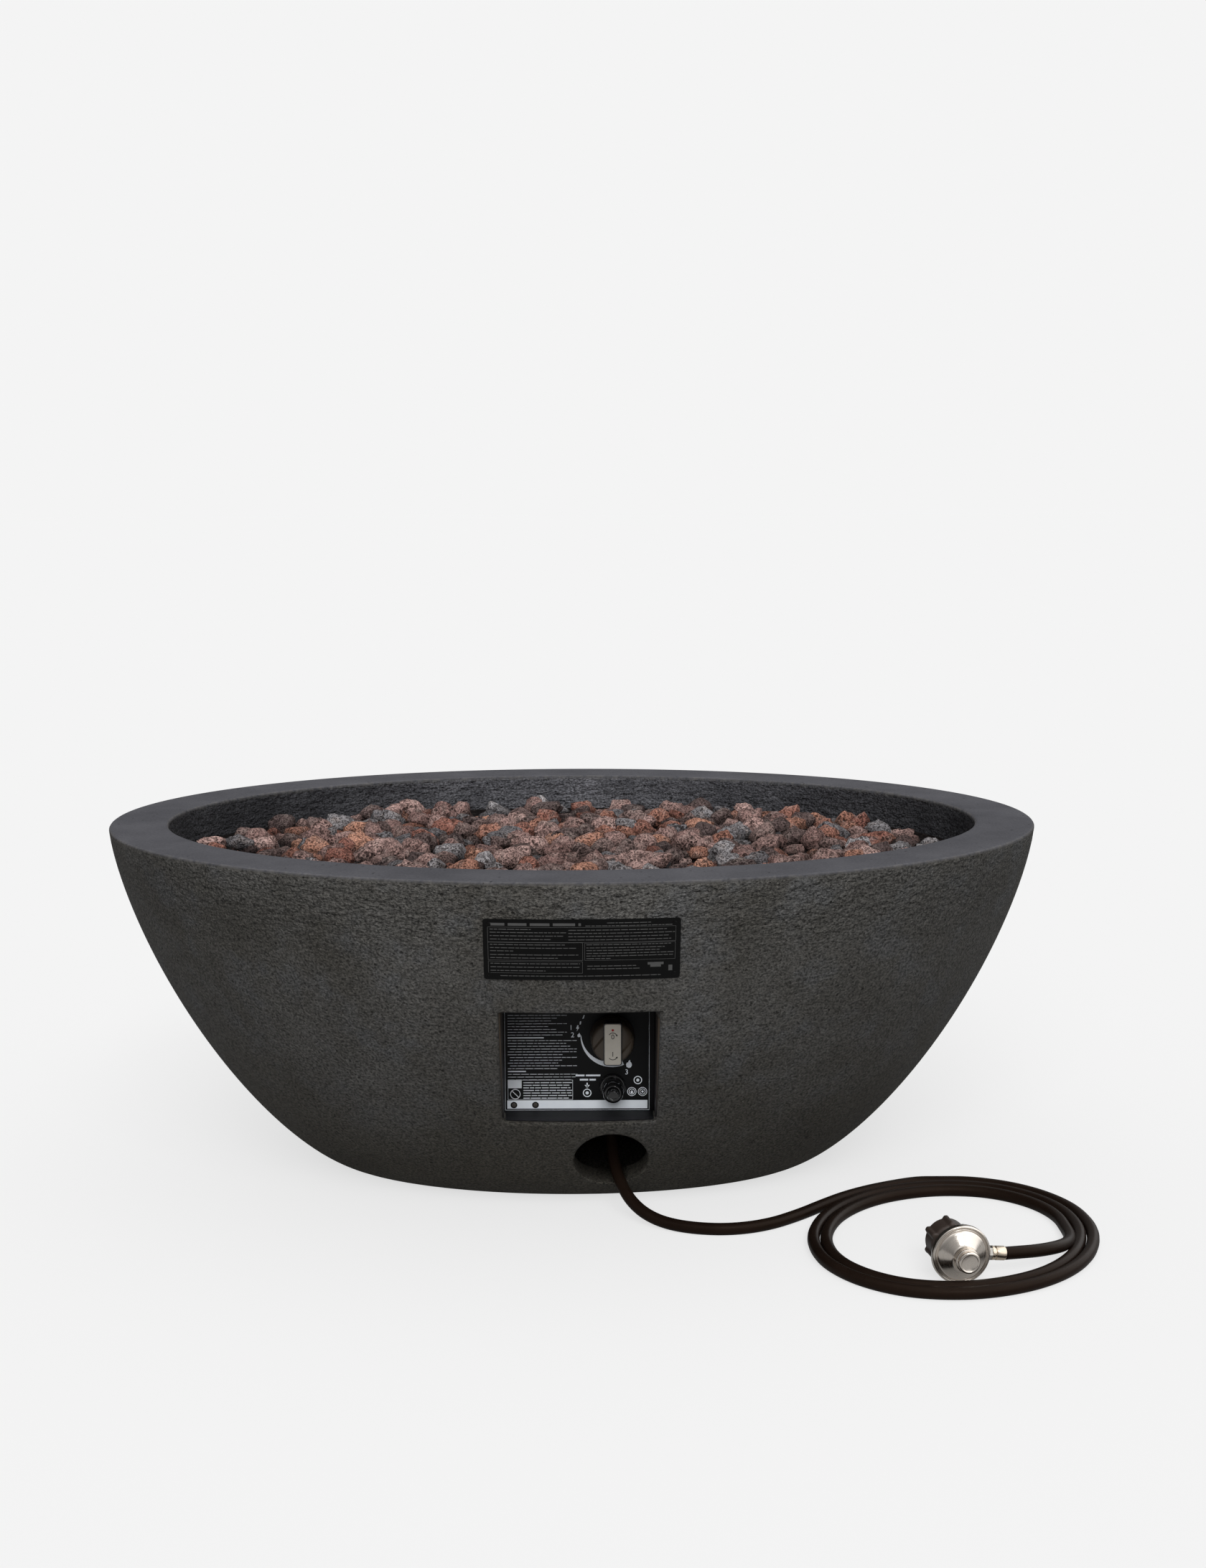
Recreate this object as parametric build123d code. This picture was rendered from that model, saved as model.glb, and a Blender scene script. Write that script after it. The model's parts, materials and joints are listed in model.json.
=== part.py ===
"""Oval gas fire bowl with lava rock, front control panel, coiled gas hose and regulator.

Millimetres. The origin is on the ground under the centre of the bowl. X runs along the
long side of the oval, the control panel faces -Y, and Z is up.
"""
from build123d import *
import os
from math import cos, dist, pi, radians, sin, tan
from random import Random

# Bowl, from the outside in
bowl_length = 1219.2
bowl_width = 914.4
bowl_height = 470.0
rim_width = 76.2
rim_thickness = 24.0
wall = 22.0
floor_thickness = 24.0
foot_inset = 302.0
flare_power = 1.42
flare_levels = (0, 0.012, 0.05, 0.11, 0.19, 0.28, 0.38, 0.5, 0.62, 0.74, 0.87, 1)
well_wall = 20.0
ledge_width = 28.0
ledge_drop = 58.0
ledge_thickness = 18.0

# Opening for the controls and hole for the hose, both in the front wall
recess_x = 8.8
recess_width = 186.0
recess_bottom = 147.0
recess_top = 307.5
panel_setback = 187.2
hose_hole_x = 47.5
hose_hole_z = 81.5
hose_hole_radius = 46.0

# Sheet metal
box_sheet = 1.5
box_lip = 16.0
box_setback = 8.0
panel_sheet = 1.5
panel_hole_radius = 2.8
panel_hole_rise = 8.3
panel_hole_places = (-71.3, -44.9)
panel_screw_radius = 1.9
panel_screw_head = 3.8
screw_head_height = 2.2
pan_sheet = 1.5
pan_depth = 54.0
pan_clearance = 2.0

# Fits
running_fit = 0.06
push_fit = 0.1
seat_gap = 0.3

# Knob and valve
knob_x = 49.0
knob_z = 243.0
knob_travel = 4.0
knob_gap = 7.0
knob_length = 34.0
grip_width = 22.0
grip_length = 53.0
insert_width = 20.0
insert_length = 50.4
insert_thickness = 1.2
stem_radius = 4.0
stem_flat = 2.8
collar_radius = 7.5
collar_length = 5.0
valve_width = 34.0
valve_height = 36.0
valve_depth = 46.0
valve_corner = 3.0
valve_screw_spread = 19.0
valve_screw_radius = 2.0
valve_screw_head = 3.6
valve_screw_depth = 9.0
ear_margin = 6.0
ear_height = 16.0
outlet_boss_radius = 9.0
outlet_boss_length = 9.0
outlet_setback = 15.0
inlet_boss_radius = 10.0
inlet_boss_length = 6.0
collar_setback = 6.0
spring_length = 9.0
stem_tail = 8.0
stem_grip = 22.0
shoulder_rise = 1.5
shoulder_length = 2.0
knob_profile = ((27.0, 0.0), (27.0, 7.0), (24.0, 8.5), (18.0, 21.0), (0.0, 23.0))
scoop_radius = 17.0
scoop_reach = 33.0
scoop_height = 24.0
scoop_slant = 35.0
dot_radius = 1.1
dot_inset = 7.5

# Igniter
igniter_x = 49.5
igniter_z = 178.5
igniter_travel = 3.0
bezel_radius = 16.5
bezel_length = 4.0
barrel_radius = 13.0
barrel_length = 26.0
button_radius = 7.3
button_proud = 11.0
button_stop_gap = 1.0
button_dish_rim = 2.4
igniter_tube_radius = 10.8
igniter_tube_length = 48.0
igniter_nut_flat = 14.0
igniter_nut_length = 5.0
battery_radius = 5.25
battery_length = 44.5
battery_pip_radius = 1.9
terminal_spread = 4.0
terminal_size = (0.8, 8.0, 6.0)

# Thin plate riveted to the front wall
plate_x = 12.0
plate_drop = 80.5
plate_gap = 0.6
plate_width = 221.5
plate_height = 75.0
plate_sheet = 1.0
plate_corner = 2.5
rivet_radius = 2.6
rivet_height = 1.2
rivet_inset = 6.5

# Burner under the rock
burner_straight = 250.0
burner_end_radius = 150.0
burner_tube_radius = 10.0
burner_tube_wall = 1.2
burner_cross_radius = 8.0
burner_foot_inset = 20.0
burner_lift = 17.0
burner_hub_radius = 17.0
burner_hub_height = 24.0
port_radius = 2.0
ports_per_side = 8
foot_size = (12.0, 16.0)
nipple_radius = 10.5
nipple_wall = 2.5
nipple_length = 44.0
nipple_hold = 10.0
locknut_flat = 16.0
locknut_length = 7.0
drain_radius = 5.0
drain_places = (330.0, 160.0)
groove_clearance = 4.0

# Gas parts under the pan
mixer_length = 52.0
mixer_radius = 14.0
mixer_throat = 8.0
mixer_hold = 12.0
jet_radius = 7.5
jet_bore = 0.9
jet_hold = 6.0
orifice_length = 16.0
orifice_flat = 9.0
window_size = (60.0, 9.0, 16.0)
nut_flat = 11.0
nut_length = 13.0
connector_radius = 6.5
connector_sag = 74.0
elbow_radius = 8.0
elbow_reach = 31.0
elbow_drop = 30.0
elbow_nut_flat = 10.0
elbow_nut_length = 9.0

# Spark rod, flame sensor and their hood
spark_x = 70.0
spark_inset = 46.0
probe_x = 92.0
insulator_radius = 4.0
insulator_length = 40.0
insulator_below = 24.5
insulator_stop = (5.5, 3.0)
rod_radius = 1.1
rod_length = 54.0
rod_below = 26.0
probe_radius = 3.0
probe_length = 40.0
probe_below = 22.5
probe_stop = (4.5, 3.0)
shield_half_x = 30.0
shield_half_y = 17.0
shield_height = 34.0
shield_sheet = 1.0
lead_radius = 1.5

# Lava rock
bed_top_drop = 50.0
rock_columns = 17
rock_rows = 14
rock_gap = 2.0
rock_low = 19.0
rock_high = 27.0
rock_wall_gap = 6.0

# Gas hose and regulator
hose_radius = 7.5
hose_lift = 0.1
ferrule_radius = 8.2
ferrule_length = 17.0
ferrule_groove = 0.7
ferrule_waist = 1.2
coil_back = (486.0, 60.5)
coil_small = 147.0
coil_small_step = 14.0
coil_large = 217.0
coil_large_step = 9.0
coil_quarters = 9
regulator_place = (443.0, -258.0)
regulator_turn = 10.0
regulator_droop = 6.0
regulator_radius = 34.6
diaphragm_half = 0.4
cap_height = 28.0
body_back = 22.0
outlet_back = 8.0
outlet_reach = 35.2
outlet_hex_flat = 7.2
outlet_hex_length = 4.0
hose_way_run = 29.0
wheel_radius = 28.0
wheel_lobes = 6
wheel_length = 26.0
wheel_web = 15.4
wheel_socket = 15.5
lobe_radius = 4.5
scallop_radius = 16.5
scallop_reach = 40.0
neck_radius = 7.0
neck_collar = (10.0, 4.0)
shoulder_size = (9.5, 2.0)
nose_radius = 6.4
nose_length = 17.0
seal_rim = 1.8
seal_length = 4.0

rim_z = bowl_height
ledge_z = rim_z - ledge_drop
bed_top = rim_z - bed_top_drop
pan_floor = ledge_z - pan_depth
half_length = bowl_length / 2
half_width = bowl_width / 2
well_length = half_length - rim_width
well_width = half_width - rim_width
plate_z = rim_z - plate_drop
spark_y = spark_inset - burner_end_radius
panel_y = panel_setback - half_width
panel_back = panel_y + panel_sheet
box_back = panel_back + box_sheet
hose_z = hose_radius + hose_lift


def oval(half_x, half_y, low, high):
    """Upright oval block between two heights."""
    return extrude(Pos(0, 0, low) * Ellipse(half_x, half_y), high - low)


def oval_block(grow, low, high):
    """Oval block in the well of the bowl, larger or smaller than the well by grow."""
    return oval(well_length + grow, well_width + grow, low, high)


def flare(share):
    """How far a level lies inside the rim, for a share of the height from foot to rim."""
    return foot_inset * (1 - (1 - (1 - share) ** flare_power) ** (1 / flare_power))


def flared_body(grow=0.0, low=0.0):
    """The bowl's outer form, grown outward by grow and standing on the height low."""
    sections = []
    for share in flare_levels:
        z = low + share * (rim_z - low)
        inset = flare(share) - grow
        sections.append(Pos(0, 0, z) * Ellipse(half_length - inset, half_width - inset))
    return loft(sections)


def rod_y(x, z, radius, front, back):
    """Round bar along Y from its front end to its back end."""
    return Pos(x, (front + back) / 2, z) * Rot(90, 0, 0) * Cylinder(radius, abs(back - front))


def block(x_low, x_high, y_low, y_high, z_low, z_high):
    """Box given by its limits."""
    centre = Pos((x_low + x_high) / 2, (y_low + y_high) / 2, (z_low + z_high) / 2)
    return centre * Box(x_high - x_low, y_high - y_low, z_high - z_low)


def hex_bar(radius, length):
    """Hexagonal bar along Z from z = 0, radius to its flats."""
    return extrude(RegularPolygon(radius, 6, major_radius=False), length)


def bar_up(radius, length):
    """Round bar along Z from z = 0."""
    return Cylinder(radius, length, align=(Align.CENTER, Align.CENTER, Align.MIN))


def turned(*points):
    """Solid of revolution about Z from radius and height pairs, closed on the axis."""
    low, high = (0, points[0][1]), (0, points[-1][1])
    middle = [point for point in points if point[0] > 0]
    return revolve(Plane.XZ * make_face(Polyline(low, *middle, high, low)), Axis.Z)


def bend_radii(points):
    """Largest fair radius at each corner of a route, from its two runs and its turn."""
    radii = []
    for before, corner, after in zip(points, points[1:], points[2:]):
        run_in = Vector(*corner) - Vector(*before)
        run_out = Vector(*after) - Vector(*corner)
        turn = radians(run_in.get_angle(run_out))
        radii.append(0.45 * min(run_in.length, run_out.length) / tan(turn / 2))
    return radii


def tube_along(name, points, radius):
    """Tube of straight runs and tangent arcs through a hand-laid route."""
    radii = bend_radii(points)
    path = FilletPolyline(*points, radius=radii)
    section = Plane(path @ 0, z_dir=path % 0) * Circle(radius)
    tube = sweep(section, path=path)
    expected = pi * radius**2 * path.length
    print(name, "length", round(path.length), "least bend", round(min(radii)),
          "volume share", round(tube.volume / expected, 4))
    return tube


def way(start, end, steps):
    """Points between two ends: each step gives the offset in x and the shares of y and z."""
    points = [start]
    for aside, share_y, share_z in steps:
        x = start[0] + aside
        points.append((x, start[1] + share_y * (end[1] - start[1]), start[2] + share_z * (end[2] - start[2])))
    return points + [end]


def bowl_shell():
    """Cast bowl: flared wall, flat rim, well with its ledge, two openings."""
    ledge_low = ledge_z - ledge_thickness
    hollow = flared_body(-wall, floor_thickness)
    hollow -= block(-half_length, half_length, -half_width, half_width, rim_z - rim_thickness, rim_z + 1)
    shell = flared_body() - hollow
    shell += oval_block(well_wall, ledge_low, rim_z - rim_thickness / 2)
    shell -= oval_block(0, ledge_z, rim_z + 1)
    shell -= oval_block(-ledge_width, ledge_low - 1, ledge_z + 1)
    shell -= recess_prism(0, -half_width, box_back)
    shell -= rod_y(hose_hole_x, hose_hole_z, hose_hole_radius, -half_width, -half_width / 4)
    return shell


def recess_prism(inset, front, back):
    """Block of the recess's outline, smaller by inset all round, from front to back."""
    half = recess_width / 2 - inset
    low, high = recess_bottom + inset, recess_top - inset
    return block(recess_x - half, recess_x + half, front, back, low, high)


def panel_holes():
    """Two small round holes at the lower left of the panel and the lip behind it."""
    holes = []
    for x in panel_hole_places:
        z = recess_bottom + panel_hole_rise
        holes.append(rod_y(x, z, panel_hole_radius, panel_y - 1, box_back + 1))
    return holes


def control_box():
    """Open sheet-metal box lining the recess, with a lip behind the panel."""
    box = recess_prism(0, -half_width, box_back)
    box -= recess_prism(box_sheet, -half_width - 1, panel_back)
    box -= recess_prism(box_sheet + box_lip, -half_width - 1, box_back + 1)
    box &= flared_body(-box_setback)
    for hole in panel_holes() + panel_screw_shanks():
        box -= hole
    return box


def panel_screw_places():
    """Places of the two screws at the panel's top corners."""
    inset = box_sheet + box_lip / 2
    for side in (-1, 1):
        yield recess_x + side * (recess_width / 2 - inset), recess_top - inset


def panel_screw_shanks():
    """Shanks of the panel's screws, which also cut their holes."""
    shanks = []
    for x, z in panel_screw_places():
        shanks.append(rod_y(x, z, panel_screw_radius, panel_y, box_back + 3))
    return shanks


def panel_screws():
    """Two pan-head screws through the panel's top corners into the lip."""
    screws = []
    for shank, (x, z) in zip(panel_screw_shanks(), panel_screw_places()):
        screws.append(shank + rod_y(x, z, panel_screw_head, panel_y - screw_head_height, panel_y))
    return Compound(screws)


def valve_screw_shanks(back):
    """Shanks of the two screws that hold the valve to the panel."""
    shanks = []
    for side in (-1, 1):
        x = knob_x + side * valve_screw_spread
        shanks.append(rod_y(x, knob_z, valve_screw_radius, panel_y, back))
    return shanks


def control_panel():
    """Flat panel with holes for the valve stem, the igniter and the screws."""
    panel = recess_prism(box_sheet, panel_y, panel_back)
    panel -= rod_y(knob_x, knob_z, stem_radius + 2, panel_y - 1, panel_back + 1)
    panel -= rod_y(igniter_x, igniter_z, igniter_tube_radius + push_fit, panel_y - 1, panel_back + 1)
    for hole in panel_holes() + panel_screw_shanks() + valve_screw_shanks(panel_back + 1):
        panel -= hole
    return panel


valve_back = panel_back + valve_depth
collar_front = panel_back + collar_setback
collar_pocket_back = collar_front + collar_length + spring_length
stem_end = collar_pocket_back + stem_tail
outlet_x = knob_x - valve_width / 2 - outlet_boss_length
outlet_y = valve_back - outlet_setback


def valve_body():
    """Cast valve: block on the panel, collar pocket, stem bore, outlet boss and ears."""
    half = valve_width / 2
    body = block(knob_x - half, knob_x + half, panel_back, valve_back,
                 knob_z - valve_height / 2, knob_z + valve_height / 2)
    reach = valve_screw_spread + ear_margin
    body += block(knob_x - reach, knob_x + reach, panel_back, panel_back + valve_screw_depth + 1,
                  knob_z - ear_height / 2, knob_z + ear_height / 2)
    body = fillet(body.edges().filter_by(Axis.Y), valve_corner)
    outlet = Pos(knob_x - half, outlet_y, knob_z) * Rot(0, -90, 0)
    body += outlet * bar_up(outlet_boss_radius, outlet_boss_length)
    body += rod_y(knob_x, knob_z, inlet_boss_radius, valve_back, valve_back + inlet_boss_length)
    body -= rod_y(knob_x, knob_z, collar_radius + running_fit, panel_back - 1, collar_pocket_back)
    body -= rod_y(knob_x, knob_z, stem_radius + running_fit, collar_pocket_back - 1,
                  stem_end + knob_travel + 1)
    for shank in valve_screw_shanks(panel_back + valve_screw_depth):
        body -= shank
    return body


def valve_screws():
    """Two screws through the panel into the valve's ears."""
    screws = []
    for side, shank in zip((-1, 1), valve_screw_shanks(panel_back + valve_screw_depth)):
        x = knob_x + side * valve_screw_spread
        screws.append(shank + rod_y(x, knob_z, valve_screw_head, panel_y - screw_head_height, panel_y))
    return Compound(screws)


def stem_collar():
    """Collar that the stem turns in and pushes back against the valve's spring."""
    collar = rod_y(knob_x, knob_z, collar_radius, collar_front, collar_front + collar_length)
    collar -= rod_y(knob_x, knob_z, stem_radius + running_fit, collar_front - 1,
                    collar_front + collar_length + 1)
    return collar


knob_back = panel_y - knob_gap
knob_face = knob_back - knob_length
insert_back = knob_face + insert_thickness
stem_front = knob_back - stem_grip


def valve_stem():
    """Stem with a flat where the knob grips it and a shoulder ahead of the collar."""
    stem = rod_y(knob_x, knob_z, stem_radius, stem_front, stem_end)
    stem += rod_y(knob_x, knob_z, stem_radius + shoulder_rise, collar_front - shoulder_length, collar_front)
    return stem - stem_flat_block(stem_front - 1, knob_back, stem_flat)


def stem_flat_block(front, back, height):
    """Block above the stem's flat, from a height over the axis up."""
    reach = 1.5 * stem_radius
    return block(knob_x - reach, knob_x + reach, front, back, knob_z + height, knob_z + reach)


def control_knob():
    """Moulded knob: skirt, coned body with two finger scoops, and a raised grip."""
    body = turned(*knob_profile)
    for side in (-1, 1):
        scoop = Cylinder(scoop_radius, scoop_height, rotation=(90, 0, scoop_slant * side))
        body -= Pos(side * scoop_reach, 0, scoop_height) * scoop
    grip = Pos(0, 0, knob_length / 2) * Box(grip_width, grip_length, knob_length)
    body += grip & bar_up(knob_profile[0][0], knob_length)
    body -= Pos(0, 0, knob_length - insert_thickness) * insert_blank(insert_thickness + 1)
    knob = Pos(knob_x, knob_back, knob_z) * Rot(90, 0, 0) * body
    stem_hole = rod_y(knob_x, knob_z, stem_radius + running_fit, stem_front, knob_back + 1)
    keep = stem_flat_block(stem_front - 1, knob_back + 2, stem_flat + running_fit)
    return knob - (stem_hole - keep)


def insert_blank(thickness):
    """Bar-shaped plate with rounded ends, from z = 0."""
    plate = extrude(Rectangle(insert_width, insert_length), thickness)
    return plate & bar_up(insert_length / 2, thickness)


def knob_insert():
    """Satin metal bar let into the knob's grip, with the hole for its red dot."""
    hole = Pos(0, insert_length / 2 - dot_inset, 0) * Cylinder(dot_radius, 4 * insert_thickness)
    plate = insert_blank(insert_thickness) - hole
    return Pos(knob_x, insert_back, knob_z) * Rot(90, 0, 0) * plate


def knob_dot():
    """Red dot that shows the knob's off position."""
    dot_z = knob_z + insert_length / 2 - dot_inset
    return rod_y(knob_x, dot_z, dot_radius, knob_face, insert_back)


bezel_front = panel_y - bezel_length
barrel_front = bezel_front - barrel_length
button_front = barrel_front - button_proud
button_back = bezel_front - igniter_travel - button_stop_gap
igniter_back = panel_y + igniter_tube_length


def igniter_rod(radius, front, back):
    """Round bar on the igniter's axis."""
    return rod_y(igniter_x, igniter_z, radius, front, back)


def igniter_housing():
    """Bezel, stepped barrel and rear tube, bored for the button and the battery."""
    housing = igniter_rod(bezel_radius, bezel_front, panel_y)
    housing = chamfer(housing.edges().group_by(Axis.Y)[0], 1.5)
    barrel = igniter_rod(barrel_radius, barrel_front, bezel_front)
    housing += chamfer(barrel.edges().group_by(Axis.Y)[0], 1.2)
    housing += igniter_rod(igniter_tube_radius, panel_y, igniter_back)
    housing -= igniter_rod(button_radius + running_fit, barrel_front - 1, bezel_front)
    housing -= igniter_rod(battery_radius + seat_gap, bezel_front - 1, igniter_back - 2)
    return housing


def igniter_button():
    """Push button with a dished end."""
    button = igniter_rod(button_radius, button_front, button_back)
    button = chamfer(button.edges().group_by(Axis.Y)[0], 0.8)
    button -= igniter_rod(button_radius - button_dish_rim, button_front - 1, button_front + 1)
    return button


def igniter_nut():
    """Hexagonal nut behind the panel."""
    nut = hex_bar(igniter_nut_flat, igniter_nut_length)
    nut -= Cylinder(igniter_tube_radius + push_fit, 4 * igniter_nut_length)
    return Pos(igniter_x, panel_back, igniter_z) * Rot(-90, 0, 0) * nut


def igniter_battery():
    """Slim dry cell with its pip, lying in the rear tube."""
    back = igniter_back - 2
    cell = igniter_rod(battery_radius, back - battery_length + 1, back)
    return cell + igniter_rod(battery_pip_radius, back - battery_length, back - battery_length + 1)


def igniter_terminals():
    """Two flat tags on the back of the igniter."""
    tags = []
    for side in (-1, 1):
        middle = igniter_back + terminal_size[1] / 2
        tags.append(Pos(igniter_x + side * terminal_spread, middle, igniter_z) * Box(*terminal_size))
    return Compound(tags)


def warning_plate():
    """Thin plate bent to the bowl's wall, bare."""
    skin = flared_body(plate_gap + plate_sheet) - flared_body(plate_gap)
    outline = Pos(plate_x, -half_width, plate_z) * Rot(90, 0, 0)
    outline *= extrude(RectangleRounded(plate_width, plate_height, plate_corner), half_width, both=True)
    outline &= block(-half_length, half_length, -half_width - 20, -half_width / 2, 0, rim_z)
    return skin & outline


def plate_rivets():
    """Four flat rivet heads lying on the plate's corners."""
    skin = flared_body(plate_gap + plate_sheet + rivet_height) - flared_body(plate_gap + plate_sheet)
    heads = []
    for side in (-1, 1):
        for end in (-1, 1):
            x = plate_x + side * (plate_width / 2 - rivet_inset)
            z = plate_z + end * (plate_height / 2 - rivet_inset)
            head = skin & rod_y(x, z, rivet_radius, -half_width - 20, -half_width / 2)
            heads.extend(head.solids())
    return Compound(heads)


pan_length = well_length - ledge_width - pan_clearance
pan_width = well_width - ledge_width - pan_clearance
flange_top = ledge_z + pan_sheet
burner_z = pan_floor + pan_sheet + burner_lift
hub_low = burner_z - burner_hub_height / 2
nipple_low = hub_low - nipple_length
spark_low = pan_floor - rod_below
shield_low = pan_floor + pan_sheet
mixer_low = nipple_low + mixer_hold - mixer_length
orifice_low = mixer_low + jet_hold - orifice_length
connector_top = orifice_low - nut_length


def burner_pan():
    """Oval steel pan hanging in the well by its flange."""
    pan = oval(pan_length, pan_width, pan_floor, flange_top)
    pan += oval_block(-pan_clearance, ledge_z, flange_top)
    pan -= oval(pan_length - pan_sheet, pan_width - pan_sheet, pan_floor + pan_sheet, flange_top + 1)
    holes = [(0, 0, nipple_radius + push_fit), (spark_x, spark_y, insulator_radius + push_fit),
             (probe_x, spark_y, probe_radius + push_fit)]
    for side in (-1, 1):
        for end in (-1, 1):
            holes.append((side * drain_places[0], end * drain_places[1], drain_radius))
    for x, y, radius in holes:
        pan -= Pos(x, y, pan_floor) * Cylinder(radius, 8 * pan_sheet)
    return pan


def racetrack(half, radius):
    """Flat oval outline of two straights and two half circles, as one wire."""
    return Wire([
        Line((-half, -radius), (half, -radius)),
        ThreePointArc((half, -radius), (half + radius, 0), (half, radius)),
        Line((half, radius), (-half, radius)),
        ThreePointArc((-half, radius), (-half - radius, 0), (-half, -radius)),
    ])


def burner_ring():
    """Tube ring with a cross tube, a hub and a row of ports along its top."""
    half = burner_straight / 2
    path = Pos(0, 0, burner_z) * racetrack(half, burner_end_radius)
    start = Plane((-half, -burner_end_radius, burner_z), z_dir=(1, 0, 0))
    ring = sweep(start * Circle(burner_tube_radius), path=path)
    cross = rod_y(0, burner_z, burner_cross_radius, -burner_end_radius, burner_end_radius)
    hub = Pos(0, 0, burner_z) * Cylinder(burner_hub_radius, burner_hub_height)
    burner = ring + cross + hub
    inner = burner_tube_radius - burner_tube_wall
    burner -= sweep(start * Circle(inner), path=path)
    cross_inner = burner_cross_radius - burner_tube_wall
    burner -= rod_y(0, burner_z, cross_inner, -burner_end_radius, burner_end_radius)
    for index in range(ports_per_side):
        x = burner_straight * ((index + 0.5) / ports_per_side - 0.5)
        for side in (-1, 1):
            port = Pos(x, side * burner_end_radius, burner_z + burner_tube_radius)
            burner -= port * Cylinder(port_radius, 2 * burner_tube_radius)
    burner -= Pos(0, 0, hub_low) * Cylinder(nipple_radius, 2 * nipple_hold)
    return burner


def burner_feet():
    """Four posts with saddles that carry the ring on the pan."""
    feet = []
    tube = burner_tube_radius
    reach = burner_straight / 2 - burner_foot_inset
    for x in (-reach, reach):
        for side in (-1, 1):
            y = side * burner_end_radius
            half_x, half_y = foot_size[0] / 2, foot_size[1] / 2
            foot = block(x - half_x, x + half_x, y - half_y, y + half_y,
                         pan_floor + pan_sheet, burner_z - tube / 2)
            foot -= Pos(x, y, burner_z) * Rot(0, 90, 0) * Cylinder(tube, 2 * foot_size[0])
            feet.append(foot)
    return Compound(feet)


def burner_nipple():
    """Threaded pipe from the hub down through the pan."""
    length = hub_low + nipple_hold - nipple_low
    pipe = bar_up(nipple_radius, length) - bar_up(nipple_radius - nipple_wall, length)
    return Pos(0, 0, nipple_low) * pipe


def burner_locknut():
    """Locknut that clamps the pan between itself and the hub."""
    nut = hex_bar(locknut_flat, locknut_length)
    nut -= Cylinder(nipple_radius + push_fit, 4 * locknut_length)
    return Pos(0, 0, pan_floor - locknut_length) * nut


def air_mixer():
    """Tube with two air windows that the gas jet draws air through."""
    tube = bar_up(mixer_radius, mixer_length)
    tube -= Pos(0, 0, mixer_length - mixer_hold) * bar_up(nipple_radius + push_fit, mixer_length)
    tube -= Pos(0, 0, mixer_hold) * bar_up(mixer_throat, mixer_length)
    tube -= bar_up(jet_radius, mixer_length)
    tube -= Pos(0, 0, mixer_length / 2) * Box(*window_size)
    return Pos(0, 0, mixer_low) * tube


def orifice():
    """Brass jet: hexagon, spud in the mixer and a fine bore."""
    jet = hex_bar(orifice_flat, orifice_length - jet_hold) + bar_up(jet_radius, orifice_length)
    jet -= Cylinder(jet_bore, 4 * orifice_length)
    return Pos(0, 0, orifice_low) * jet


def connector_nuts():
    """Nuts at the two ends of the flexible connector."""
    upper = Pos(0, 0, connector_top) * hex_bar(nut_flat, nut_length)
    lower = Pos(outlet_x, outlet_y, knob_z) * Rot(0, -90, 0) * hex_bar(nut_flat, nut_length)
    return Compound([upper, lower])


def gas_connector():
    """Flexible tube from the valve's outlet to the jet under the burner."""
    start = (outlet_x - nut_length, outlet_y, knob_z)
    low = (0, 0, knob_z - connector_sag)
    route = way(start, low, [(-26, 0, 0), (-46, 0.05, 0.19), (-56, 0.17, 0.51), (-48, 0.38, 0.84),
                             (-32, 0.6, 0.97), (-22, 0.8, 0.99)])
    route[-1] = (-4, -14, knob_z - 0.73 * connector_sag)
    route += [(0, 0, connector_top - 20), (0, 0, connector_top)]
    return tube_along("gas_connector", route, connector_radius)


elbow_y = valve_back + elbow_reach
elbow_low = knob_z - elbow_drop


def inlet_elbow():
    """Brass elbow that turns the valve's inlet down to the hose."""
    elbow = Pos(knob_x, elbow_y, knob_z) * Sphere(elbow_radius)
    elbow += rod_y(knob_x, knob_z, elbow_radius, valve_back + inlet_boss_length, elbow_y)
    elbow += Pos(knob_x, elbow_y, elbow_low) * bar_up(elbow_radius, elbow_drop)
    return elbow + Pos(knob_x, elbow_y, elbow_low) * hex_bar(elbow_nut_flat, elbow_nut_length)


def ferrule():
    """Crimped sleeve with a shank, along Z: the hose enters at z = 0."""
    sleeve = bar_up(ferrule_radius, ferrule_length)
    for height, depth in ((0, ferrule_groove), (ferrule_length - 4, ferrule_waist)):
        groove = Cylinder(ferrule_radius + 1, 2.2) - Cylinder(ferrule_radius - depth, 2.2)
        sleeve -= Pos(0, 0, height) * groove
    return sleeve


def inlet_ferrule():
    """Sleeve on the hose's end under the valve."""
    return Pos(knob_x, elbow_y, elbow_low - ferrule_length) * ferrule()


# Hand-laid route of the hose: x, y behind the valve's elbow and z, then on the ground
hose_start_z = elbow_low - ferrule_length
hose_drop = [
    (knob_x, 0, hose_start_z), (knob_x, 0, hose_start_z - 24), (48.3, 5.5, 147), (48, 11.5, 123),
    (48.5, 13.5, 100), (49.5, 7.5, 79), (52, -5.5, 61), (56.5, -23.5, 47.5), (63, -43.5, 36.5),
    (73, -60.5, 25), (90, -76.5, 14.5), (115, -92.5, hose_z + 1),
]
hose_ground = [
    (150, -106.5), (193, -110.5), (239, -95.5), (281, -62.5), (316, -25.5), (347, 4.5), (378, 27),
    (406, 42), (433, 54.5), (452, 60.5), (coil_back[0] - 2 * hose_radius, 60.5),
]
lead_route = [(x, elbow_y + y, z) for x, y, z in hose_drop]
lead_route += [(x, elbow_y + y, hose_z) for x, y in hose_ground]


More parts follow.
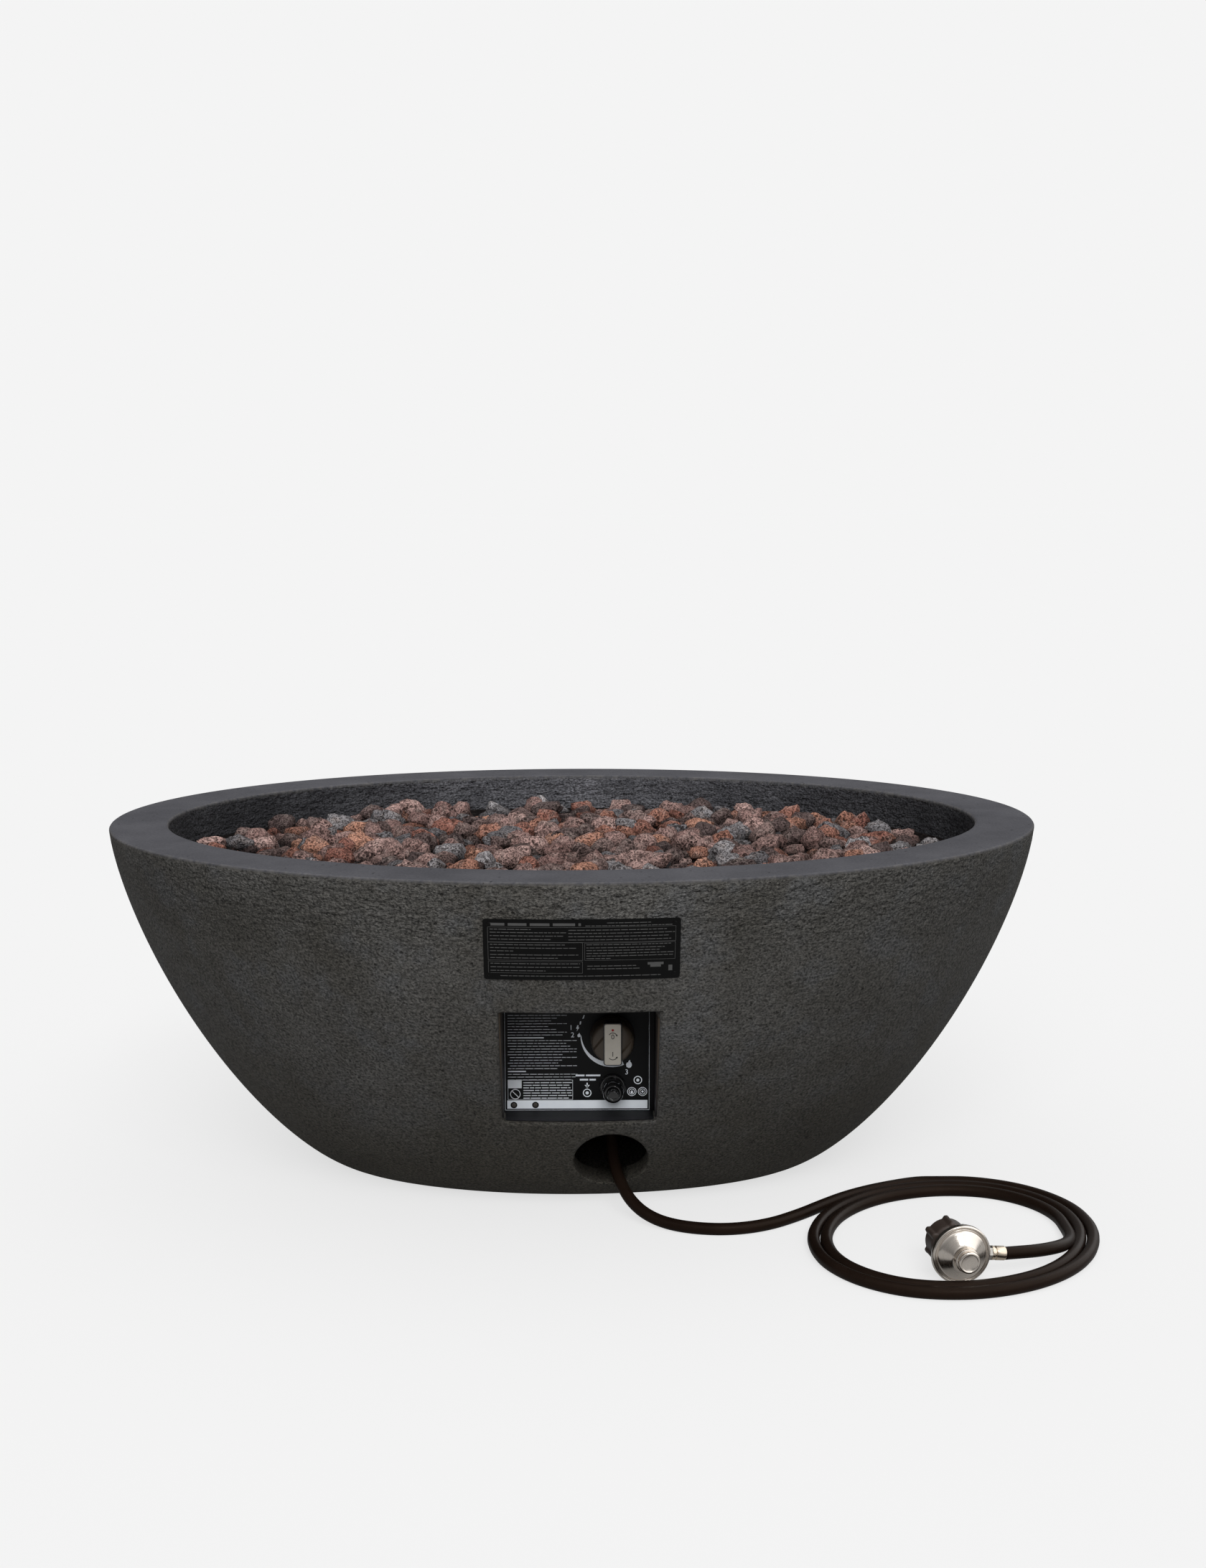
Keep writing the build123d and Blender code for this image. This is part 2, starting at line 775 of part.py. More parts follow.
def coil_arcs():
    """Quarter turns of the coil, each as start, middle, end and centre with its angles.

    Short and long radii take turns, which makes each turn a slanted oval, and both
    shrink with every turn, so the coil winds inward.
    """
    x, y = coil_back[0], elbow_y + coil_back[1]
    angle = 90.0
    for index in range(coil_quarters):
        radius = coil_small - coil_small_step * (index // 2)
        if index % 2:
            radius = coil_large - coil_large_step * (index // 2)
        away = (cos(radians(angle)), sin(radians(angle)))
        centre = (x - radius * away[0], y - radius * away[1])
        stops = []
        for turn in (45, 90):
            where = radians(angle - turn)
            stops.append((centre[0] + radius * cos(where), centre[1] + radius * sin(where), hose_z))
        yield (x, y, hose_z), stops[0], stops[1], centre, radius, angle
        x, y = stops[1][:2]
        angle -= 90


def coil_path():
    """One unbroken line: a short straight, the quarter turns and a short straight."""
    arcs = list(coil_arcs())
    first, last = arcs[0][0], arcs[-1][2]
    straight = 2 * hose_radius
    lines = [Line((first[0] - straight, first[1], hose_z), first)]
    for start, middle, end, *_ in arcs:
        lines.append(ThreePointArc(start, middle, end))
    lines.append(Line(last, (last[0], last[1] - straight, hose_z)))
    return Wire(lines)


def coil_gap():
    """Least gap between strands of the coil, on points a degree or so apart."""
    points = []
    for _, _, _, centre, radius, angle in coil_arcs():
        for turn in range(0, 90, 2):
            where = radians(angle - turn)
            points.append((centre[0] + radius * cos(where), centre[1] + radius * sin(where)))
    least = 1e9
    for index, point in enumerate(points):
        for other in points[index + 60:]:
            least = min(least, dist(point, other))
    return least - 2 * hose_radius


def hose_coil():
    """Two turns and a quarter of hose lying flat, winding inward."""
    path = coil_path()
    section = Plane(path @ 0, z_dir=path % 0) * Circle(hose_radius)
    coil = sweep(section, path=path)
    print("hose_coil length", round(path.length), "gap", round(coil_gap(), 2),
          "volume share", round(coil.volume / (pi * hose_radius**2 * path.length), 4))
    return coil


turn_sin, turn_cos = sin(radians(regulator_turn)), cos(radians(regulator_turn))
regulator_y = elbow_y + regulator_place[1]
regulator_plane = Plane((regulator_place[0], regulator_y, regulator_radius + hose_lift),
                        x_dir=(turn_cos, turn_sin, 0), z_dir=(turn_sin, -turn_cos, 0))
outlet_length = outlet_reach + outlet_hex_length
outlet_frame = Pos(0, 0, -outlet_back) * Rot(0, 0, -regulator_droop) * Rot(0, 90, 0)


def on_regulator(shape):
    """Place a piece drawn on the regulator's own axis."""
    return regulator_plane.location * shape


def regulator_cover():
    """Pressed front cover: rolled edge, bead, shallow cone and hub."""
    return on_regulator(turned(
        (regulator_radius, diaphragm_half), (regulator_radius, 2.6), (32.4, 3.4), (31.2, 2.0),
        (29.4, 2.2), (28.6, 4.6), (27.4, 5.4), (15.4, 13.0), (14.6, 14.4), (14.2, 21.0), (12.8, 22.0)))


def regulator_cap():
    """Round cap closing the hub, with a shallow dish."""
    return on_regulator(turned((12.8, 22.0), (12.8, cap_height - 1.2), (11.8, cap_height),
                               (9.6, cap_height), (9.2, cap_height - 0.8)))


def regulator_diaphragm():
    """Rubber disc clamped between cover and body."""
    return on_regulator(Cylinder(regulator_radius - 1.2, 2 * diaphragm_half))


def regulator_body():
    """Cast back half: flange, bowl, neck for the inlet and boss for the outlet."""
    body = turned((regulator_radius, -diaphragm_half), (regulator_radius, -3.4), (30.0, -4.2),
                  (25.0, -12.0), (14.0, -16.0), (11.0, -17.0), (11.0, -body_back))
    boss_radius = outlet_back - diaphragm_half
    return on_regulator(body + outlet_frame * bar_up(boss_radius, outlet_reach))


def outlet_fitting():
    """Hexagonal fitting between the regulator's boss and the hose sleeve."""
    fitting = Pos(0, 0, outlet_reach) * hex_bar(outlet_hex_flat, outlet_hex_length)
    return on_regulator(outlet_frame * fitting)


def regulator_ferrule():
    """Sleeve on the hose's end at the regulator."""
    turned_round = Pos(0, 0, outlet_length + ferrule_length) * Rot(180, 0, 0) * ferrule()
    return on_regulator(outlet_frame * turned_round)


hose_end_frame = regulator_plane.location * outlet_frame
hose_end = (hose_end_frame * Pos(0, 0, outlet_length + ferrule_length)).position
hose_way = (hose_end_frame * Pos(0, 0, outlet_length + ferrule_length + hose_way_run)).position


def tail_route():
    """Route from the end of the coil up to the regulator."""
    last = list(coil_arcs())[-1][2]
    x, y = last[0], last[1] - 2 * hose_radius
    steps = [(0, -19, 0), (-5, -45, 2.9), (-13.5, -74, 7.4), (-26, -103, 11.9), (-42, -126, 15.9)]
    route = [(x, y, hose_z)] + [(x + dx, y + dy, hose_z + dz) for dx, dy, dz in steps]
    return route + [tuple(hose_way), tuple(hose_end)]


wheel_front = -body_back - neck_collar[1] - seat_gap
shoulder_front = wheel_front - wheel_web - seat_gap
nose_front = shoulder_front - shoulder_size[1]


def inlet_nipple():
    """Brass inlet that the handwheel turns on, held by a collar and a shoulder."""
    collar_radius_out, collar_depth = neck_collar
    nose_end = nose_front - nose_length
    return on_regulator(turned(
        (collar_radius_out, -body_back), (collar_radius_out, -body_back - collar_depth),
        (neck_radius, -body_back - collar_depth), (neck_radius, shoulder_front),
        (shoulder_size[0], shoulder_front), (shoulder_size[0], nose_front),
        (nose_radius, nose_front), (nose_radius, nose_end + 5), (nose_radius - 1.8, nose_end)))


def inlet_seal():
    """Soft ring on the inlet's nose."""
    ring = Cylinder(nose_radius + seal_rim, seal_length)
    ring -= Cylinder(nose_radius + running_fit, 2 * seal_length)
    return on_regulator(Pos(0, 0, nose_front - 1 - seal_length / 2) * ring)


def handwheel():
    """Moulded wheel nut: six lobes, scallops between, a web on the neck, a threaded socket."""
    top = (Align.CENTER, Align.CENTER, Align.MAX)
    wheel = Cylinder(wheel_radius - 2.5, wheel_length, align=top)
    for index in range(wheel_lobes):
        lobe = Rot(0, 0, (index + 0.5) * 360 / wheel_lobes) * Pos(wheel_radius - lobe_radius, 0, 0)
        wheel += lobe * Cylinder(lobe_radius, wheel_length, align=top)
    for index in range(wheel_lobes):
        scallop = Rot(0, 0, index * 360 / wheel_lobes) * Pos(scallop_reach, 0, 0)
        wheel -= scallop * Cylinder(scallop_radius, 3 * wheel_length)
    wheel -= Cylinder(neck_radius + push_fit, 3 * wheel_length)
    wheel -= Pos(0, 0, -wheel_web) * Cylinder(wheel_socket, wheel_length, align=top)
    return on_regulator(Pos(0, 0, wheel_front) * wheel)


def electrode_insulator():
    """Ceramic sleeve through the pan, resting on its collar."""
    tube = bar_up(insulator_radius, insulator_length)
    tube += Pos(0, 0, insulator_below + pan_sheet) * bar_up(*insulator_stop)
    tube -= Cylinder(rod_radius + push_fit, 3 * insulator_length)
    return Pos(spark_x, spark_y, pan_floor - insulator_below) * tube


def electrode_rod():
    """Spark rod through the ceramic."""
    return Pos(spark_x, spark_y, spark_low) * bar_up(rod_radius, rod_length)


def thermocouple():
    """Flame sensor tip standing beside the spark rod."""
    tip = bar_up(probe_radius, probe_length)
    tip += Pos(0, 0, probe_below + pan_sheet) * bar_up(*probe_stop)
    return Pos(probe_x, spark_y, pan_floor - probe_below) * tip


def igniter_lead():
    """Insulated lead from the igniter's tag up to the spark rod."""
    start = (igniter_x + terminal_spread, igniter_back + terminal_size[1], igniter_z)
    end = (spark_x, spark_y, spark_low)
    steps = [(0, 0.07, 0), (2.5, 0.14, 0.01), (8.5, 0.21, 0.045), (15.5, 0.33, 0.12), (20.5, 0.51, 0.24),
             (23.5, 0.7, 0.41), (22.5, 0.86, 0.61), (18, 0.96, 0.81), (spark_x - start[0], 1, 0.92)]
    return tube_along("igniter_lead", way(start, end, steps), lead_radius)


def thermocouple_lead():
    """Copper capillary from the valve's back up to the flame sensor."""
    start = (knob_x + 10, valve_back, knob_z - 9)
    end = (probe_x, spark_y, pan_floor - probe_below)
    steps = [(0, 0.12, 0), (11, 0.34, 0.07), (27, 0.61, 0.27), (35, 0.9, 0.58), (probe_x - start[0], 1, 0.78)]
    return tube_along("thermocouple_lead", way(start, end, steps), lead_radius)


def spark_shield():
    """Small folded hood that keeps rock off the spark rod and the sensor."""
    x = (spark_x + probe_x) / 2
    hood = block(x - shield_half_x, x + shield_half_x, spark_y - shield_half_y, spark_y + shield_half_y,
                 shield_low, shield_low + shield_height)
    inner = shield_half_x - shield_sheet
    hood -= block(x - inner, x + inner, spark_y - shield_half_y - 1,
                  spark_y + shield_half_y - shield_sheet, shield_low - 1,
                  shield_low + shield_height - shield_sheet)
    return hood


def rock_bed():
    """Lower layers of the rock as one fill, shaped round the burner and its hood."""
    gap = groove_clearance
    bed = oval(pan_length - pan_sheet - seat_gap, pan_width - pan_sheet - seat_gap,
               pan_floor + pan_sheet, flange_top + 1)
    bed += oval_block(-pan_clearance, flange_top, bed_top)
    top = burner_z + burner_tube_radius + gap
    reach = burner_tube_radius + gap
    half = burner_straight / 2
    outer = make_face(racetrack(half, burner_end_radius + reach))
    inner = make_face(racetrack(half, burner_end_radius - reach))
    groove = extrude(Pos(0, 0, pan_floor) * (outer - inner), top - pan_floor)
    bed -= groove
    bed -= block(-reach, reach, -burner_end_radius, burner_end_radius, pan_floor, top)
    bed -= Pos(0, 0, (pan_floor + top) / 2) * Cylinder(burner_hub_radius + gap, top - pan_floor + 2)
    x = (spark_x + probe_x) / 2
    bed -= block(x - shield_half_x - 1, x + shield_half_x + 1, spark_y - shield_half_y - 1,
                 spark_y + shield_half_y + 1, pan_floor, shield_low + shield_height + 1)
    return bed


rock_step = 2 * well_length / rock_columns
rock_row = 2 * well_width / rock_rows
rock_reach = min(rock_step, rock_row * 2 / 3**0.5) / 2 - rock_gap


def rock_places():
    """Centres of the top rocks: rows of staggered places that fit inside the well."""
    reach = rock_reach + rock_wall_gap
    for row in range(-rock_rows, rock_rows + 1):
        for column in range(-rock_columns, rock_columns + 1):
            x = (column + 0.5 * (row % 2)) * rock_step
            y = row * rock_row
            if (x / (well_length - reach)) ** 2 + (y / (well_width - reach)) ** 2 < 1:
                yield x, y


def rock(chance, x, y):
    """One angular rock, flat where it lies on the bed."""
    points = []
    height = chance.uniform(rock_low, rock_high)
    rings = ((0.0, 0.72, 5), (0.45, 1.0, 5), (1.0, 0.5, 3))
    for level, spread, count in rings:
        start = chance.uniform(0, 360)
        for index in range(count):
            angle = radians(start + index * 360 / count + chance.uniform(-14, 14))
            reach = rock_reach * spread * chance.uniform(0.88, 1.0)
            points.append((x + reach * cos(angle), y + reach * sin(angle), bed_top + height * level))
    return ConvexPolyhedron(points)


def rocks_by_colour():
    """Top rocks, dealt out to four colours."""
    chance = Random(4)
    groups = {"lava_rocks_rust": [], "lava_rocks_grey": [], "lava_rocks_dark": [], "lava_rocks_mauve": []}
    names = list(groups)
    for x, y in rock_places():
        name = names[chance.randrange(len(names))]
        groups[name].extend(rock(chance, x, y).solids())
    return {name: Compound(solids) for name, solids in groups.items()}


pieces = {
    "bowl_shell": bowl_shell(),
    "control_box": control_box(),
    "control_panel": control_panel(),
    "panel_screws": panel_screws(),
    "warning_plate": warning_plate(),
    "plate_rivets": plate_rivets(),
    "valve_body": valve_body(),
    "valve_screws": valve_screws(),
    "stem_collar": stem_collar(),
    "valve_stem": valve_stem(),
    "control_knob": control_knob(),
    "knob_insert": knob_insert(),
    "knob_dot": knob_dot(),
    "inlet_elbow": inlet_elbow(),
    "inlet_ferrule": inlet_ferrule(),
    "igniter_housing": igniter_housing(),
    "igniter_button": igniter_button(),
    "igniter_nut": igniter_nut(),
    "igniter_battery": igniter_battery(),
    "igniter_terminals": igniter_terminals(),
    "burner_pan": burner_pan(),
    "burner_ring": burner_ring(),
    "burner_feet": burner_feet(),
    "burner_nipple": burner_nipple(),
    "burner_locknut": burner_locknut(),
    "air_mixer": air_mixer(),
    "gas_orifice": orifice(),
    "connector_nuts": connector_nuts(),
    "gas_connector": gas_connector(),
    "electrode_insulator": electrode_insulator(),
    "electrode_rod": electrode_rod(),
    "thermocouple_tip": thermocouple(),
    "spark_shield": spark_shield(),
    "igniter_lead": igniter_lead(),
    "thermocouple_lead": thermocouple_lead(),
    "rock_bed": rock_bed(),
    "hose_lead": tube_along("hose_lead", lead_route, hose_radius),
    "hose_coil": hose_coil(),
    "hose_tail": tube_along("hose_tail", tail_route(), hose_radius),
    "regulator_cover": regulator_cover(),
    "regulator_cap": regulator_cap(),
    "regulator_diaphragm": regulator_diaphragm(),
    "regulator_body": regulator_body(),
    "outlet_fitting": outlet_fitting(),
    "regulator_ferrule": regulator_ferrule(),
    "inlet_nipple": inlet_nipple(),
    "inlet_seal": inlet_seal(),
    "handwheel": handwheel(),
}
pieces.update(rocks_by_colour())

os.makedirs("parts", exist_ok=True)
for name, piece in pieces.items():
    export_step(piece, f"parts/{name}.step")
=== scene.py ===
# %% [markdown]
# # An oval gas fire bowl
# This lesson dresses a fire bowl of cast concrete: the bowl with its rim and well, the lava
# rock, the control panel in its recess, and the gas hose with its regulator. The hard parts
# come from a CAD model that is loaded first and never moved. Each cell adds one piece or one
# finish, and says why it is made that way. Lengths are metres. Those of small parts are
# millimetres, and MM turns them into metres.

# %% Load the fixed frame
import json
import math
import random

import bmesh
import bpy
from mathutils import Matrix, Vector, noise


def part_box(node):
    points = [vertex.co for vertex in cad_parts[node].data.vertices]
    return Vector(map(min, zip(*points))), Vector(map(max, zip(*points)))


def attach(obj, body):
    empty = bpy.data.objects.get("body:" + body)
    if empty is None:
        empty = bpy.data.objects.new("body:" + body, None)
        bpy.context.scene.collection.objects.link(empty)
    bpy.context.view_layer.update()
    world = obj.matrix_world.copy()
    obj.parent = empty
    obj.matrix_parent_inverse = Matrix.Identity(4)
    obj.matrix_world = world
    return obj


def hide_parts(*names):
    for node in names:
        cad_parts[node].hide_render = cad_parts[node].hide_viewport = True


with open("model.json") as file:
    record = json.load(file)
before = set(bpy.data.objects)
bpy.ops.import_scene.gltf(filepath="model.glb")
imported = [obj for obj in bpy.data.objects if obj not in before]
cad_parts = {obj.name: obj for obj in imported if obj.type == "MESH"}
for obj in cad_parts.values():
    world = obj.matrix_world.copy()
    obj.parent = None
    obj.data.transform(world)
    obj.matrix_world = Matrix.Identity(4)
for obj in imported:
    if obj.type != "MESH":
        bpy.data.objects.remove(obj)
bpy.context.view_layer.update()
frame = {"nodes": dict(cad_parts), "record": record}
nodes = frame["nodes"]
MM = 0.001
print("loaded", len(nodes), "CAD nodes")

# %% [markdown]
# ## The camera
# The view was worked out from the oval rim, the foot and the ground: the camera stands 2.6 m
# in front of the bowl, a little under a metre high, and looks down by about eight degrees.
# Building its axes from the three angles keeps the maths in one place.

# %% Camera
PHOTO_HEIGHT = 2185
FOCAL_PIXELS = 2704
SIDEWAYS_PIXELS = 47
SENSOR = 36.0
CAMERA_PLACE = (0.005, -2.562, 0.890)
CAMERA_ANGLES = (8.38, -0.17, -0.26)


def camera_axes(pitch, yaw, roll):
    """Right, up and backward directions of a camera that looks along +Y and down."""
    ahead = Vector((math.sin(yaw) * math.cos(pitch), math.cos(yaw) * math.cos(pitch), -math.sin(pitch)))
    level = Vector((math.cos(yaw), -math.sin(yaw), 0))
    above = level.cross(ahead)
    right = math.cos(roll) * level + math.sin(roll) * above
    up = math.cos(roll) * above - math.sin(roll) * level
    return right, up, -ahead


def add_object(name, data):
    """A new object at the origin, in the scene."""
    thing = bpy.data.objects.new(name, data)
    bpy.context.scene.collection.objects.link(thing)
    return thing


lens = bpy.data.cameras.new("camera")
lens.lens = FOCAL_PIXELS / PHOTO_HEIGHT * SENSOR
lens.sensor_width = SENSOR
lens.shift_x = SIDEWAYS_PIXELS / PHOTO_HEIGHT
camera = add_object("camera", lens)
axes = Matrix(camera_axes(*[math.radians(angle) for angle in CAMERA_ANGLES])).transposed()
camera.matrix_world = Matrix.Translation(CAMERA_PLACE) @ axes.to_4x4()
bpy.context.scene.camera = camera
print("lens", round(lens.lens, 2), "mm")

# %% [markdown]
# ## Small helpers
# Most pieces are drawn in a bmesh and then turned into an object, and most materials are a
# few nodes joined in a row. These helpers keep each step to one line. A new object rides on
# a body at once, so that no piece is forgotten.

# %% Helpers for pieces
def finish_piece(bm, name, material, body="base", smooth=True):
    """Turns a bmesh into an object at the origin that rides on a CAD body."""
    mesh = bpy.data.meshes.new(name)
    bm.to_mesh(mesh)
    bm.free()
    for face in mesh.polygons:
        face.use_smooth = smooth
    mesh.materials.append(material)
    piece = add_object(name, mesh)
    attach(piece, body)
    print(name, len(mesh.polygons), "faces")
    return piece


def only(kind, items):
    """Those of the items that are of one kind: verts, edges or faces."""
    return [item for item in items if isinstance(item, kind)]


def thicken(bm, faces):
    """Pulls a second layer out of flat faces, still in place, and gives its verts."""
    made = bmesh.ops.extrude_face_region(bm, geom=faces, use_keep_orig=True)["geom"]
    return set(only(bmesh.types.BMVert, made))


def sharpen(bm, degrees):
    """Marks the edges that turn more than an angle as sharp, so that flats shade flat."""
    for edge in bm.edges:
        if len(edge.link_faces) == 2 and edge.calc_face_angle() > math.radians(degrees):
            edge.smooth = False


# %% Helpers for materials
def paint(red, green, blue):
    """Linear colour from the 0 to 255 values of a paint chart."""
    def linear(value):
        share = value / 255
        return share / 12.92 if share <= 0.04045 else ((share + 0.055) / 1.055) ** 2.4
    return (linear(red), linear(green), linear(blue), 1.0)


def put(tree, kind, sockets=None, **options):
    """Adds a shader node, sets its options, and sets or joins its sockets."""
    node = tree.nodes.new("ShaderNode" + kind)
    for option, value in options.items():
        setattr(node, option, value)
    for socket, value in (sockets or {}).items():
        if isinstance(value, bpy.types.NodeSocket):
            tree.links.new(value, node.inputs[socket])
        else:
            node.inputs[socket].default_value = value
    return node


def blend_colours(tree, share, low, high, mode="MIX"):
    """Mixes two colours by a share and gives the mixed colour's socket."""
    return put(tree, "Mix", {0: share, 6: low, 7: high}, data_type="RGBA", blend_type=mode).outputs[2]


def spread(tree, value, low, high, to_low=0.0, to_high=1.0):
    """Stretches the part of a value between low and high over a new range."""
    sockets = {"Value": value, "From Min": low, "From Max": high, "To Min": to_low, "To Max": to_high}
    return put(tree, "MapRange", sockets).outputs["Result"]


def work_out(tree, operation, first, second):
    """One arithmetic step between two values."""
    return put(tree, "Math", {0: first, 1: second}, operation=operation).outputs[0]


def plus(tree, first, second):
    """Sum of two values."""
    return work_out(tree, "ADD", first, second)


def minus(tree, first, second):
    """Difference of two values."""
    return work_out(tree, "SUBTRACT", first, second)


def times(tree, first, second):
    """Product of two values."""
    return work_out(tree, "MULTIPLY", first, second)


def noise_value(tree, where, scale, detail, roughness=0.5):
    """Value of a noise texture, from 0 to 1 with most of it near 0.5."""
    sockets = {"Vector": where, "Scale": scale, "Detail": detail, "Roughness": roughness}
    return put(tree, "TexNoise", sockets).outputs["Fac"]


def tint(tree, colour, share):
    """Multiplies a colour by a value: below one darkens it, above one lightens it."""
    return blend_colours(tree, 1.0, colour, share, "MULTIPLY")


def new_finish(name, **settings):
    """A material with one Principled shader: gives the material, its tree, shader and coordinates."""
    material = bpy.data.materials.new(name)
    material.use_nodes = True
    tree = material.node_tree
    shader = tree.nodes["Principled BSDF"]
    for socket, value in settings.items():
        shader.inputs[socket.replace("_", " ")].default_value = value
    where = put(tree, "TexCoord").outputs["Object"]
    return material, tree, shader, where


def join_bump(tree, shader, height, distance, strength=1.0):
    """Feeds a height to the shader's normal through a Bump node."""
    bump = put(tree, "Bump", {"Height": height, "Distance": distance, "Strength": strength})
    tree.links.new(bump.outputs["Normal"], shader.inputs["Normal"])


# %% [markdown]
# ## Shader groups
# Three effects come back in many finishes: cloudy mottling, a fine grain, and small pits.
# Each is a node group with named inputs, so that concrete, rock, cast metal and plastic can
# share it with values of their own. A group gives out only colours, masks and heights.

# %% Node groups
def new_group(name, inputs, outputs):
    """Empty shader group with named sockets: gives the group, its start and its end."""
    group = bpy.data.node_groups.new(name, "ShaderNodeTree")
    for label, kind, value in inputs:
        socket = group.interface.new_socket(label, in_out="INPUT", socket_type=kind)
        if value is not None:
            socket.default_value = value
    for label, kind in outputs:
        group.interface.new_socket(label, in_out="OUTPUT", socket_type=kind)
    return group, group.nodes.new("NodeGroupInput").outputs, group.nodes.new("NodeGroupOutput").inputs


def mottle_group():
    """Cloudy change between two colours, with finer clouds inside the broad ones."""
    group, start, end = new_group(
        "Mottle",
        [("Vector", "NodeSocketVector", None), ("Scale", "NodeSocketFloat", 4.0),
         ("Softness", "NodeSocketFloat", 0.2), ("Low", "NodeSocketColor", None),
         ("High", "NodeSocketColor", None)],
        [("Color", "NodeSocketColor"), ("Mask", "NodeSocketFloat")])
    clouds = noise_value(group, start["Vector"], start["Scale"], 6.0, 0.6)
    low = minus(group, 0.5, start["Softness"])
    high = plus(group, 0.5, start["Softness"])
    mask = spread(group, clouds, low, high)
    group.links.new(mask, end["Mask"])
    group.links.new(blend_colours(group, mask, start["Low"], start["High"]), end["Color"])
    return group


def grain_group():
    """Height of a surface with bumps of one size and finer bumps on them."""
    group, start, end = new_group(
        "Grain",
        [("Vector", "NodeSocketVector", None), ("Scale", "NodeSocketFloat", 100.0),
         ("Finer", "NodeSocketFloat", 5.0), ("Share", "NodeSocketFloat", 0.4)],
        [("Height", "NodeSocketFloat")])
    broad = noise_value(group, start["Vector"], start["Scale"], 3.0)
    finer_scale = times(group, start["Scale"], start["Finer"])
    finer = noise_value(group, start["Vector"], finer_scale, 3.0)
    part = times(group, finer, start["Share"])
    group.links.new(plus(group, broad, part), end["Height"])
    return group


def pits_group():
    """Round pits of mixed size: the mask is one in a pit and zero between them."""
    group, start, end = new_group(
        "Pits",
        [("Vector", "NodeSocketVector", None), ("Scale", "NodeSocketFloat", 200.0),
         ("Size", "NodeSocketFloat", 0.3), ("Share", "NodeSocketFloat", 0.5)],
        [("Mask", "NodeSocketFloat")])
    cells = put(group, "TexVoronoi", {"Vector": start["Vector"], "Scale": start["Scale"]})
    chance = put(group, "SeparateColor", {"Color": cells.outputs["Color"]}).outputs["Red"]
    absent = minus(group, 1.0, start["Share"])
    size = times(group, spread(group, chance, absent, 1.0), start["Size"])
    inside = minus(group, size, cells.outputs["Distance"])
    group.links.new(spread(group, inside, 0.0, 0.12), end["Mask"])
    return group


MOTTLE = mottle_group()
GRAIN = grain_group()
PITS = pits_group()


def mottle(tree, where, scale, softness, low, high):
    """Places the mottle group: gives its colour and mask."""
    node = put(tree, "Group", node_tree=MOTTLE)
    for label, value in (("Scale", scale), ("Softness", softness), ("Low", low), ("High", high)):
        node.inputs[label].default_value = value
    tree.links.new(where, node.inputs["Vector"])
    return node.outputs["Color"], node.outputs["Mask"]


def grain(tree, where, scale, finer=5.0, share=0.4):
    """Places the grain group: gives its height."""
    node = put(tree, "Group", node_tree=GRAIN)
    for label, value in (("Scale", scale), ("Finer", finer), ("Share", share)):
        node.inputs[label].default_value = value
    tree.links.new(where, node.inputs["Vector"])
    return node.outputs["Height"]


def pits(tree, where, scale, size, share):
    """Places the pits group: gives its mask."""
    node = put(tree, "Group", node_tree=PITS)
    for label, value in (("Scale", scale), ("Size", size), ("Share", share)):
        node.inputs[label].default_value = value
    tree.links.new(where, node.inputs["Vector"])
    return node.outputs["Mask"]


# %% [markdown]
# ## The gas hose
# A hose keeps its length: it drops from the valve's elbow, comes out of the round hole, runs
# along the ground and lies in an oval coil of a little over two turns, from which it rises to
# the regulator. It is one NURBS curve that follows listed points, and the coil's points
# come from a loop: short and long quarter turns in turn make each round a slanted oval. Both
# shrink by the same step, so that the turns lie side by side, and a slight squeeze towards the
# right end fits the oval's length to the photograph.

# %% Hose
HOSE_RADIUS = 7.5 * MM
HOSE_HEIGHT = 7.6 * MM
COIL_START = Vector((0.486, -0.138, HOSE_HEIGHT))
COIL_SMALL = 0.145
COIL_LARGE = 0.212
COIL_STEP = 0.0078
COIL_RIGHT = 0.631
COIL_SQUEEZE = 0.981
COIL_QUARTERS = 9
COIL_POINTS = 4
DROP_POINTS = [
    (0.049, -0.1915, 0.196), (0.049, -0.1915, 0.172), (0.0483, -0.186, 0.147), (0.048, -0.180, 0.123),
    (0.0485, -0.178, 0.100), (0.0495, -0.184, 0.079), (0.052, -0.197, 0.061), (0.0565, -0.215, 0.0475),
    (0.063, -0.235, 0.0365), (0.073, -0.252, 0.025), (0.090, -0.268, 0.0145), (0.115, -0.284, 0.0086),
]
GROUND_POINTS = [
    (0.150, -0.298), (0.193, -0.302), (0.239, -0.287), (0.281, -0.254), (0.316, -0.219), (0.347, -0.191),
    (0.378, -0.170), (0.406, -0.1555), (0.433, -0.1435), (0.452, -0.138), (0.471, -0.138),
]
TAIL_STEPS = [
    (0, -24.5, 0), (-2.7, -50.5, 1.5), (-10.8, -75.3, 5.5), (-23.9, -98, 10), (-41.4, -117.4, 14.3),
    (-62.5, -132.8, 17.6), (-84.3, -142.7, 19.9), (-103.4, -149.2, 21.2),
]


def squeezed(x):
    """X drawn in a little towards the coil's right end."""
    return COIL_RIGHT - COIL_SQUEEZE * (COIL_RIGHT - x)


